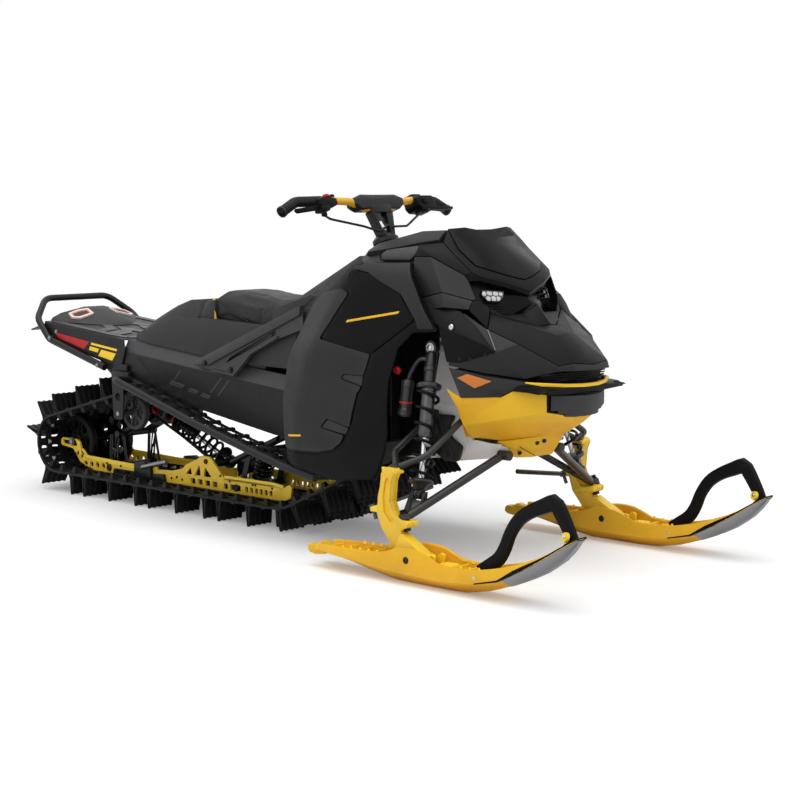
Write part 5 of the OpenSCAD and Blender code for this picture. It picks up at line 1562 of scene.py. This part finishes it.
def boards():
    rail_path = rounded([(-1638, 232, 470), (-1590, 354, 487), (-1136, 354, 362), (-712, 354, 262), (-560, 354, 240)], 60, 5, False)
    rails_out = tube(rail_path, 13, 16, (0, 0, 1))
    foot = plate([(-561, 250), (-561, 256), (-480, 258), (-360, 306), (-300, 380), (-296, 374), (-356, 298), (-476, 252)], 222, 332,
                 "y", edge=1.2)
    knuckle = plate(rounded([(-1668, 430), (-1672, 486), (-1560, 462), (-1560, 440)], 8, 2), 222, 244, "y", edge=2)
    piece(both_sides(joined(rails_out, foot, knuckle)), "board_rails", TUNNEL_COAT, hides=("running_boards",))
    piece(both_sides(board_shape()), "board_grip", BLACK_COAT)


def tail():
    side, pads = tunnel_shapes()
    box = [block((-801, -222, 330), (-352, 222, 572), 3)]
    piece(joined(both_sides(side), *box), "tunnel_walls", TUNNEL_COAT, hides=("tunnel",), smooth=24)
    # the pads, together with the painted sheen strips
    piece(both_sides(pads), "tunnel_pads_and_painted_sheen", TUNNEL_PALE)
    # paler coat on the bevels: painted highlight
    piece(both_sides(bevel_band()), "tunnel_bevels_painted_sheen", TUNNEL_PALE)
    piece(deck_marks(), "deck_chevrons", TUNNEL_PALE)
    red = stripe([(-2109, 620), (-2088, 600), (-1928, 566), (-1896, 595)])
    piece(both_sides(red), "tail_stripe_red", RED)
    yellow = [stripe([(-1882, 593), (-1730, 577), (-1734, 569), (-1886, 585)]),
              stripe([(-1890, 579), (-1836, 572), (-1846, 558), (-1898, 565)]),
              stripe([(-1824, 570), (-1738, 560), (-1760, 533), (-1842, 546)])]
    piece(both_sides(joined(*yellow)), "tail_stripe_yellow", YELLOW_PLASTIC)
    strap = [plate([(-1703, 594), (-1670, 590), (-1700, 510), (-1712, 486), (-1756, 496), (-1742, 520)], 222, 230, "y", edge=1.5),
             block((-1736, 222, 470), (-1640, 246, 500), 4, 2), block((-1700, 222, 500), (-1660, 236, 524), 3)]
    piece(both_sides(joined(*strap)), "tail_hangers", BLACK_COAT)
    path = [(-1786, 237, 508), (-2122, 237, 594), (-2203, 231, 668), (-2262, 150, 740), (-2262, -150, 740), (-2203, -231, 668),
            (-2122, -237, 594), (-1786, -237, 508)]
    feet = [across(x, z, 9, 222, 240, 12) for x, z in ((-1815, 515), (-2105, 600))]
    piece(joined(tube(rounded(path, 70, 6, False), 12.5, 20, (0, 1, 0)), both_sides(joined(*feet))), "rear_hoop", BLACK_COAT,
          hides=("rear_bumper",))
    bolts = [bolt((-2098, 222, 622), (0, 1, 0), 6, 4), bolt((-2105, 249, 600), (0, 1, 0), 6, 4), bolt((-1816, 249, 514), (0, 1, 0), 6, 4)]
    piece(both_sides(joined(*bolts)), "hoop_bolts", DULL_STEEL)

    here = deck_frame(-2080)
    pod = hull([(x, s * y, z) for s in (1, -1) for x, y, z in (
        (-92, 196, 1), (-52, 192, 1), (96, 62, 1), (110, 0, 1), (-88, 188, 14), (-60, 178, 16), (-88, 150, 30), (-84, 46, 50), (-44, 30, 46), (84, 46, 12),
        (-94, 60, 20))], 3, 2)
    piece(placed(pod, here), "tail_pod_shell", CHARCOAL, hides=("tail_pod",))
    lens_frame = here @ aimed((-30, 98, 30.5), (-30 + 0.226, 98 + 0.2, 30.5 + 1), (0, 1, 0))
    hexagon = [(-24, -50), (26, -42), (34, 26), (12, 50), (-26, 40), (-34, -10)]
    inner = [(a * 0.68, b * 0.82) for a, b in hexagon]
    core = [(a * 0.5, b * 0.7) for a, b in hexagon]
    ring = placed(plate(rounded(hexagon, 5, 2), -4, 3.6, "z", [rounded(inner, 4, 2)], 1.2), lens_frame)
    glow = placed(plate(rounded(inner, 4, 2), -4, 1.2, "z", [rounded(core, 4, 2)]), lens_frame)
    dark = placed(plate(rounded(core, 4, 2), -4, 2, "z", edge=0.8), lens_frame)
    piece(both_sides(ring), "tail_lens_rims", PALE_EDGE_LENS, hides=("tail_lights",))
    piece(both_sides(glow), "tail_lens_glow", RED_LENS)
    piece(both_sides(dark), "tail_lens_cores", CHARCOAL)
    flap_top = plate([(-2124, 206), (-2180, 206), (-2206, 196), (-2206, 0), (-2124, 0)], -5, -0.5, "z", edge=1)
    for v in flap_top.verts:
        v.co.z += deck(v.co.x) - 5
    drop = loft([[(-2180, 206, 651), (-2180, 0, 651), (-2180, 0, 646), (-2180, 206, 646)],
                 [(-2240, 202, 636), (-2240, 0, 636), (-2240, 0, 631), (-2240, 202, 631)],
                 [(-2298, 194, 622), (-2280, 0, 622), (-2279, 0, 617), (-2297, 194, 617)]])
    ribs = [plate([(-2186, 648), (-2290, 621), (-2290, 625), (-2186, 653)], y, y + 6) for y in (40, 100, 160)]
    piece(both_sides(joined(flap_top, drop, *ribs)), "rear_flap", SOFT_RUBBER, hides=("snow_flap",))


tail()
boards()


# ---------------------------------------------------------------- seat
def seat_shell():
    skirt = hull([(x, s * y, z) for s in (1, -1) for x, y, z in (
        (-1656, 198, deck(-1656) + 1), (-1650, 192, 640), (-1560, 176, 676), (-1471, 164, 704), (-1300, 160, 706), (-960, 160, 692),
        (-955, 205, 553), (-1275, 208, 578), (-1560, 208, 606))], 3, 2)
    lip = hull([(x, s * y, z) for s in (1, -1) for x, y, z in (
        (-1640, 166, 650), (-1600, 146, 688), (-1547, 134, 718), (-1495, 126, 744), (-1430, 122, 766), (-1392, 120, 768),
        (-1364, 124, 728), (-1364, 152, 702), (-1470, 162, 700), (-1580, 172, 664))], 4, 2)
    back = hull([(x, s * y, z) for s in (1, -1) for x, y, z in (
        (-1368, 118, 748), (-1340, 122, 766), (-1292, 128, 772), (-1286, 140, 700), (-1370, 146, 700))], 4, 2)
    return joined(skirt, lip, back)


def pad_shape(shrink):
    points = [(x, s * (y - shrink), z - h * shrink) for s in (1, -1) for x, y, z, h in (
        (-1300 + shrink, 130, 700, -1), (-1304 + shrink, 124, 774, 0), (-1278 + shrink, 92, 806, 1), (-1180, 94, 804, 1),
        (-1060, 96, 790, 1), (-975 - shrink, 94, 776, 1), (-960 - shrink, 118, 752, 0), (-960 - shrink, 130, 664, -1))]
    return hull(points, 7, 3)


def trapped_air(thing, pressure, frames, cap):
    """Foam pushed out by air inside a stretched cover."""
    context = bpy.context
    cloth = thing.modifiers.new("cover", "CLOTH")
    settings = cloth.settings
    settings.quality = 6
    settings.mass = 0.3
    settings.tension_stiffness = 18
    settings.compression_stiffness = 18
    settings.shear_stiffness = 9
    settings.bending_stiffness = 2
    settings.use_pressure = True
    settings.uniform_pressure_force = pressure
    settings.effector_weights.gravity = 0
    cloth.collision_settings.use_collision = False
    low = min(v.co.z for v in thing.data.vertices)
    held = thing.vertex_groups.new(name="held")
    held.add([v.index for v in thing.data.vertices if v.co.z < low + 0.012], 1.0, "REPLACE")
    settings.vertex_group_mass = "held"
    cloth.point_cache.frame_start = 1
    cloth.point_cache.frame_end = frames
    before = [v.co.copy() for v in thing.data.vertices]
    scene = context.scene
    for number in range(1, frames + 1):
        scene.frame_set(number)
    baked = thing.evaluated_get(context.evaluated_depsgraph_get())
    moved_to = [v.co.copy() for v in baked.data.vertices]
    thing.modifiers.remove(cloth)
    scene.frame_set(1)
    for v, start, end in zip(thing.data.vertices, before, moved_to):
        step = end - start
        if step.length > cap:
            step = step.normalized() * cap
        v.co = start + step


def swell(pad, cell, pressure, cap):
    """Gives a cushion's shape even cells, fills it with air and smooths it."""
    finish = pad.data.materials[0]
    remesh = pad.modifiers.new("cells", "REMESH")
    remesh.mode = "VOXEL"
    remesh.voxel_size = cell
    baked = pad.evaluated_get(bpy.context.evaluated_depsgraph_get())
    fine = bpy.data.meshes.new_from_object(baked)
    pad.modifiers.remove(remesh)
    old = pad.data
    pad.data = fine
    bpy.data.meshes.remove(old)
    if not fine.materials:
        fine.materials.append(finish)
    trapped_air(pad, pressure, 20, cap)
    for polygon in pad.data.polygons:
        polygon.use_smooth = True
    smooth = pad.modifiers.new("smooth", "SUBSURF")
    smooth.levels = 1
    smooth.render_levels = 1


def make_pad():
    swell(piece(pad_shape(4), "pad_cover", VINYL, hides=("seat_pad",)), 0.005, 3.0, 0.004)
    diagonal = [sweep([(-1278, y, 760), (-1120, y, 702)], ring_outline(1.2, 6), (0, 1, 0)) for y in (130, -130)]
    piece(joined(*diagonal), "pad_seams", SOFT_RUBBER)


def seat():
    piece(seat_shell(), "seat_shell", SEAT_GREY, hides=("seat_base",), smooth=26)
    make_pad()
    strap = [[(-1284, 136, 698), (-1298, 131, 738), (-1304, 122, 774)]]
    bands = [sweep(rounded(line, 10, 3, False), [(-6, -2), (6, -2), (6, 2), (-6, 2)], (0, 1, 0)) for line in strap]
    piece(both_sides(joined(*bands)), "pad_straps", ORANGE)
    knee = [plate(rounded([(-1060, 566), (-1030, 600), (-884, 664), (-800, 700), (-728, 790), (-728, 560)], 14, 3), 150, 216, "y", edge=5, segments=2),
            plate(rounded([(-948, 650), (-948, 756), (-760, 812), (-728, 806), (-728, 640)], 14, 3), 128, 176, "y", edge=8, segments=2)]
    piece(both_sides(joined(*knee)), "knee_covers", CHARCOAL, hides=("knee_panels",))
    face = plate([(-1279, 547), (-1279, 558), (-745, 772), (-738, 700), (-856, 663), (-988, 604), (-1038, 556), (-1075, 522), (-1180, 533)],
                 223, 233, "y", [[(-1120, 566), (-1100, 586), (-872, 690), (-872, 676)]], 1)
    flange = plate([(-1282, 547), (-1282, 560), (-745, 778), (-745, 748), (-853, 702), (-1149, 577), (-1196, 556)], 223, 243, "y", edge=2, segments=2)
    lower = sweep([(-1190, 236, 537), (-1078, 236, 527), (-1040, 236, 562), (-990, 236, 608), (-858, 236, 668)],
                  [(-3, -4), (3, -4), (3, 4), (-3, 4)], (0, 1, 0))
    piece(both_sides(joined(face, flange, lower)), "brace_plates", TUNNEL_PALE, hides=("support_braces",))
    heads = [bolt((-1219, 243, 559), (0, 1, 0), 8, 5), bolt((-1096, 233, 544), (0, 1, 0), 8, 5)]
    piece(both_sides(joined(*heads)), "brace_bolts", BLACK_COAT)


seat()


# ---------------------------------------------------------------- dash and fairing
def sided(points):
    return [(x, s * y, z) for s in (1, -1) for x, y, z in points]


def dash():
    rim = hull(sided([(-560, 128, 940), (-520, 150, 962), (-474, 150, 985), (-350, 150, 1011), (-284, 150, 1026), (-189, 148, 1030),
                      (-189, 184, 1000), (-258, 186, 991), (-368, 186, 973), (-484, 186, 957), (-520, 160, 930), (-189, 170, 960),
                      (-484, 170, 930)]), 3, 2)
    flank = hull(sided([(-520, 176, 944), (-368, 180, 966), (-189, 184, 990), (-189, 236, 932), (-400, 232, 928), (-440, 226, 920),
                        (-520, 200, 880), (-189, 236, 800), (-420, 226, 800), (-189, 150, 780), (-520, 150, 780)]), 3, 2)
    back = hull(sided([(-945, 126, 650), (-905, 124, 780), (-780, 132, 816), (-640, 142, 896), (-560, 150, 944), (-500, 196, 926),
                       (-480, 230, 890), (-560, 262, 800), (-660, 268, 700), (-735, 262, 610), (-735, 240, 580), (-945, 130, 580),
                       (-480, 230, 700)]), 6, 3)
    piece(joined(rim, flank), "dash_shell", PANEL_BLACK, hides=("console",), smooth=26)
    piece(back, "dash_fairing", BLACK, smooth=26)
    vent = hull([(-402, 190, 966), (-392, 226, 952), (-380, 235, 938), (-254, 238, 940), (-238, 236, 950), (-234, 206, 984),
                 (-402, 180, 966), (-380, 225, 930), (-254, 228, 932), (-234, 190, 984)], 1.6, 2)
    # dark strips along the vent's lower edge and beside it: painted shade standing in for the shadow in the gaps
    vent_gap_shade = [sweep([(-236, 206, 986), (-239, 238, 951), (-255, 240, 938), (-382, 237, 936), (-396, 227, 953)],
                   [(-1.6, -2), (1.6, -2), (1.6, 2), (-1.6, 2)], (0, 1, 0)),
             sweep([(-226, 204, 984), (-224, 232, 952)], [(-2.4, -2), (2.4, -2), (2.4, 2), (-2.4, 2)], (0, 1, 0))]
    piece(both_sides(vent), "dash_vents", CHARCOAL)
    piece(both_sides(joined(*vent_gap_shade)), "dash_vent_painted_shade", BLACK)
    # a dark strip along the shut line of rim and flank: painted shade in the gap
    seam_shade = sweep([(-520, 162, 944), (-484, 187.5, 956), (-368, 187.5, 972), (-258, 187.5, 990), (-189, 186, 999)],
                 [(-2, -2), (2, -2), (2, 2), (-2, 2)], (0, 1, 0))
    piece(both_sides(seam_shade), "dash_painted_seam_shade", GLOSS_BLACK)
    screen = hull([(x, y, z) for y in (-62, 62) for x, z in ((-470, 988), (-380, 1006), (-380, 1012), (-466, 996))], 4, 2)
    piece(screen, "dash_display", SCREEN)


dash()


# ---------------------------------------------------------------- steering post, bar and controls
POST = Matrix.Translation((-585, 0, 985)) @ Matrix.Rotation(math.radians(-20), 4, "Y")
BAR_PATH = [(4, 0, 112), (4, 62, 114), (2, 124, 139), (-10, 190, 146), (-36, 330, 152), (-42, 396, 120)]


def steer(shape, name, finish, hides=(), smooth=32):
    return piece(placed(shape, POST), name, finish, "handlebar_group", hides, smooth)


def bar_line(low, high):
    """The bar's centre line between two distances from the middle, with its bends rounded."""
    path = rounded(BAR_PATH, 46, 5, closed=False)
    inside = [p for p in path if low < p.y < high]

    def at(y):
        for a, b in zip(path, path[1:]):
            if a.y <= y <= b.y:
                return a.lerp(b, (y - a.y) / max(b.y - a.y, 1e-6))
        return path[-1]

    return [at(low)] + inside + [at(high)]


def steering():
    steer(both_sides(tube(bar_line(0, 236), 12.6, 18, (1, 0, 0))), "bar_tube", YELLOW_COAT, hides=("handlebar",))
    grips = [tube(bar_line(228, 397), 16, 18, (1, 0, 0))]
    for y in range(236, 392, 9):
        spot = bar_line(y, y + 4)
        grips.append(tube([spot[0], spot[-1]], 17.4, 18, (1, 0, 0)))
    end = bar_line(388, 398)
    grips.append(tube([end[0], end[-1]], 19, 18, (1, 0, 0)))
    steer(both_sides(joined(*grips)), "grips", SOFT_RUBBER)
    legs = hull([(-16, 50, 104), (22, 50, 104), (-16, 14, 104), (22, 14, 104), (-12, 26, 4), (26, 26, 4), (-12, 8, 4), (26, 8, 4)], 4, 2)
    clamp = hull(sided([(-18, 38, 94), (26, 38, 94), (-18, 38, 122), (26, 38, 122), (4, 62, 102), (4, 62, 120)]), 4, 2)
    cross = block((-10, -24, 44), (22, 24, 58), 3)
    collar = lathe([(0, -116), (17, -116), (17, -14), (36, -12), (44, -4), (44, 8), (30, 22), (0, 22)], (0, 0, 0), (0, 0, 1), 28)
    steer(joined(both_sides(legs), clamp, cross, collar), "post_riser", BLACK_COAT, hides=("steering_post",))
    strip = hull([(14, -38, 98), (14, -26, 98), (33, -27, 30), (33, -17, 30), (10, -38, 98), (10, -26, 98), (27, -27, 30),
                  (27, -17, 30)], 1)
    steer(strip, "post_strip", PALE_LED)
    right = [hull([(x, y, z) for y, z0, z1 in ((-264, 128, 152), (-246, 120, 158), (-206, 120, 158), (-184, 128, 154))
                   for x, z in ((-42, z0), (8, z0), (-42, z1 + 6), (8, z1 - 4))], 5, 2),
             hull([(-10, -262, 124), (2, -262, 130), (-12, -372, 112), (-2, -374, 118), (-4, -262, 112), (-8, -366, 102)], 2, 2),
             block((-30, -190, 150), (-8, -174, 170), 4, 2), block((-30, -262, 108), (10, -226, 126), 4, 2),
             block((-42, -224, 102), (-28, -206, 130), 4, 2)]
    left = [hull([(x, y, z) for y, z0, z1 in ((182, 122, 152), (196, 108, 162), (258, 104, 162), (270, 114, 156))
                  for x, z in ((-44, z0), (24, z0), (-44, z1 + 10), (22, z1 - 8))], 4, 2),
            hull([(-34, 262, 168), (6, 262, 156), (-26, 340, 128), (10, 344, 122), (-24, 262, 116), (10, 262, 110), (-10, 340, 104)], 3, 2),
            block((-26, 204, 96), (14, 236, 116), 5, 2), block((14, 240, 104), (24, 352, 114), 3, 2),
            block((-40, 202, 158), (-14, 246, 172), 3, 2), block((26, 204, 126), (31, 230, 144), 3, 2)]
    steer(joined(*right), "right_controls", BLACK, hides=("hand_controls",))
    steer(joined(*left), "left_controls", BLACK)
    knob = lathe([(0, 0), (9, 0), (9, 4), (13, 6), (13, 11), (9, 15), (0, 16)], (-8, -216, 152), (-8, -216, 153), 20)
    dot = lathe([(0, 0), (6, 0), (5, 4), (0, 5)], (-10, 192, 156), (-10, 192, 157), 14)
    steer(joined(knob, dot), "stop_buttons", RED)
    cushion = steer(hull(sided([(-26, 82, 160), (18, 82, 160), (-28, 114, 146), (22, 114, 146), (-28, 116, 126), (22, 116, 126),
                                (-24, 92, 108), (20, 92, 108)]), 4, 2), "bar_cushion", VINYL, hides=("bar_pad",))
    swell(cushion, 0.004, 3.0, 0.0015)
    for name, points in (("right_cable", [(-36, -215.2, 106), (-32, -196, 92), (14, -100, 50), (30, -50, 26), (36, -20, 40)]),
                         ("left_cable", [(4, 211, 108), (12, 190, 94), (28, 90, 44), (36, 20, 40)])):
        line = rounded(points, 24, 4, closed=False)
        cable = steer(tube(line, 4, 10), name, SOFT_RUBBER, hides=("control_cables",), smooth=60)


steering()


# ---------------------------------------------------------------- front suspension
LOW_JOINT = Vector((-68, 466, 186))
HIGH_JOINT = Vector((-123, 454, 327))
SHOCK_TOP = Vector((-150, 252, 675))
SHOCK_FOOT = Vector((-81, 385, 246))


def arms():
    pin = (HIGH_JOINT - LOW_JOINT).normalized()
    front_mount, rear_mount = Vector((28, 128, 348)), Vector((-205, 206, 346))
    lower = [bar(LOW_JOINT + Vector((-2, -14, 1)), front_mount, 13, 20), bar(LOW_JOINT + Vector((-8, -13, 1)), rear_mount, 12, 20),
             bar(front_mount - Vector((14, 0, 0)), front_mount + Vector((30, 0, 0)), 15.5, 20, 2),
             bar(rear_mount - Vector((20, 0, 0)), rear_mount + Vector((20, 0, 0)), 14.5, 20, 2),
             hull([(-70, 446, 178), (-76, 444, 196), (-46, 380, 226), (-98, 400, 232), (-52, 384, 214), (-102, 402, 220)], 2),
             bar(SHOCK_FOOT - Vector((22, 0, 0)), SHOCK_FOOT + Vector((22, 0, 0)), 8, 14),
             hull([(x, y, z) for x in (-106, -98) for y, z in ((374, 254), (396, 250), (404, 216), (380, 218))], 1.5),
             hull([(x, y, z) for x in (-64, -56) for y, z in ((374, 254), (396, 250), (404, 212), (380, 214))], 1.5)]
    ups = []
    for x, knee in ((-56, (72, -66, 37)), (-186, (-58, -66, 39))):
        start = HIGH_JOINT + Vector((1 if x == -56 else -4, -14, 2))
        path = [start, HIGH_JOINT + Vector(knee), Vector((x, 204, 466))]
        ups.append(tube(rounded(path, 40, 5, False), 10, 16))
        ups.append(bar((x - 11, 204, 466), (x + 11, 204, 466), 13.5, 18, 1.5))
    cups = [lathe([(0, -12), (13, -12), (16.5, -7), (16.5, 8), (12, 12), (0, 12)], spot, spot + pin, 20) for spot in (LOW_JOINT, HIGH_JOINT)]
    piece(both_sides(joined(*lower, cups[0])), "lower_arm_tubes", ARM_GREY, hides=("lower_arms",))
    piece(both_sides(joined(*ups, cups[1])), "upper_arm_tubes", ARM_GREY, hides=("upper_arms",))
    boots = [lathe([(7, 11), (14, 13), (9, 17), (13, 20), (8, 24)], spot, spot + pin, 18) for spot in (LOW_JOINT,)]
    piece(both_sides(joined(*boots)), "joint_boots", SOFT_RUBBER)


def front_dampers():
    ahead = (SHOCK_FOOT - SHOCK_TOP).normalized()
    span = (SHOCK_FOOT - SHOCK_TOP).length

    def turned(profile, steps=28):
        return lathe(profile, SHOCK_TOP, SHOCK_TOP + ahead, steps)

    eye = lathe([(0, -10), (22, -10), (24, -6), (24, 6), (22, 10), (0, 10)], SHOCK_TOP, SHOCK_TOP + Vector((0, 1, 0)), 24)
    foot_eye = lathe([(0, -11), (15, -11), (16, -8), (16, 8), (15, 11), (0, 11)], SHOCK_FOOT, SHOCK_FOOT + Vector((1, 0, 0)), 20)
    upper = turned([(0, 14), (14, 14), (17, 24), (17, 60), (20, 62), (20, 74), (17, 76), (17, 116), (0, 116)])
    seat_up = turned([(0, 112), (30, 112), (38, 117), (38, 126), (34, 130), (0, 130)])
    seat_low = turned([(0, span - 44), (34, span - 44), (38, span - 40), (38, span - 35), (24, span - 26), (14, span - 14), (0, span - 14)])
    spot = SHOCK_TOP + ahead * 40
    tank_top = Vector((-222, 284, 572))
    tank_end = Vector((-226, 296, 462))
    tank = lathe([(0, -2), (17, -2), (20, 4), (20, 20), (18.4, 22), (18.4, 86), (21, 90), (21, 106), (15, 112), (0, 112)], tank_top,
                 tank_end, 28)
    link = tube(curved([spot, spot + Vector((-34, 14, 2)), Vector((-212, 280, 600)), tank_top], 4), 7, 12)
    piece(both_sides(joined(eye, foot_eye, upper, seat_up, seat_low, tank, link)), "front_damper_bodies", DAMPER_GREY,
          hides=("front_shocks",))
    sleeve = turned([(0, 128), (21, 128), (21, span * 0.6), (18, span * 0.62), (0, span * 0.62)])
    collars = [turned([(0, 134 + k * 9), (24, 134 + k * 9), (24, 139 + k * 9), (0, 139 + k * 9)]) for k in range(2)]
    piece(both_sides(joined(sleeve, *collars)), "front_damper_sleeves", DARK_STEEL)
    shaft = turned([(0, span * 0.6), (8, span * 0.6), (8, span - 40), (0, span - 40)], 20)
    nut = bolt(SHOCK_TOP + Vector((0, 10, 0)), (0, 1, 0), 10, 6)
    piece(both_sides(joined(shaft, nut)), "front_damper_shafts", STEEL)
    spring = coil(SHOCK_TOP + ahead * 131, SHOCK_TOP + ahead * (span - 45), 32.5, 5, 5.5)
    piece(both_sides(spring), "front_coils", GLOSS_BLACK, hides=("front_springs",), smooth=60)
    down = (tank_end - tank_top).normalized()
    middle = tank_top + down * 66
    ring = lathe([(18, 0), (21, 0), (21, 5), (18, 5)], middle, middle + down, 28, closed=True)
    dial = lathe([(0, 0), (8, 0), (13, 4), (14, 11), (10, 16), (0, 17)], (-258, 288, 604), (-256, 306, 598), 20)
    piece(both_sides(joined(ring, dial)), "front_damper_red", RED)


def boots():
    outline = [(-214, 436), (-190, 462), (-112, 464), (-138, 430), (-130, 394), (-84, 370), (-101, 321), (-150, 319), (-206, 352),
               (-222, 392)]
    boot = plate(rounded(outline, 12, 3), 178, 196, "y", edge=6, segments=2)
    folds = [sweep([(x, 196, z) for x, z in line], ring_outline(4, 8), (0, 1, 0)) for line in
             ([(-196, 452), (-168, 392), (-140, 330)], [(-170, 456), (-150, 400), (-112, 340)])]
    piece(both_sides(joined(boot, *folds)), "frame_boots", SOFT_RUBBER)


arms()
front_dampers()
boots()


# ---------------------------------------------------------------- finish
SLOT_FINISH = {
    "black_rubber": TRACK_RUBBER, "black_plastic": BLACK, "charcoal_plastic": CHARCOAL,
    "yellow_plastic": YELLOW_PLASTIC, "yellow_paint": YELLOW_COAT, "black_paint": BLACK_COAT,
    "dark_aluminium": TUNNEL_COAT, "grey_aluminium": GREY_CAST, "steel": STEEL, "seat_fabric": VINYL,
    "tinted_screen": SCREEN, "lamp_clear": CLEAR, "lamp_red": RED_LENS, "engine_grey": ENGINE,
}
NODE_SLOT = {part["node"]: part["material_slot"] for part in frame["record"]["subparts"]}
for node, thing in frame["nodes"].items():
    thing.data.materials.clear()
    thing.data.materials.append(DARK_STEEL if node.startswith("tie_rod") else SLOT_FINISH[NODE_SLOT[node]])
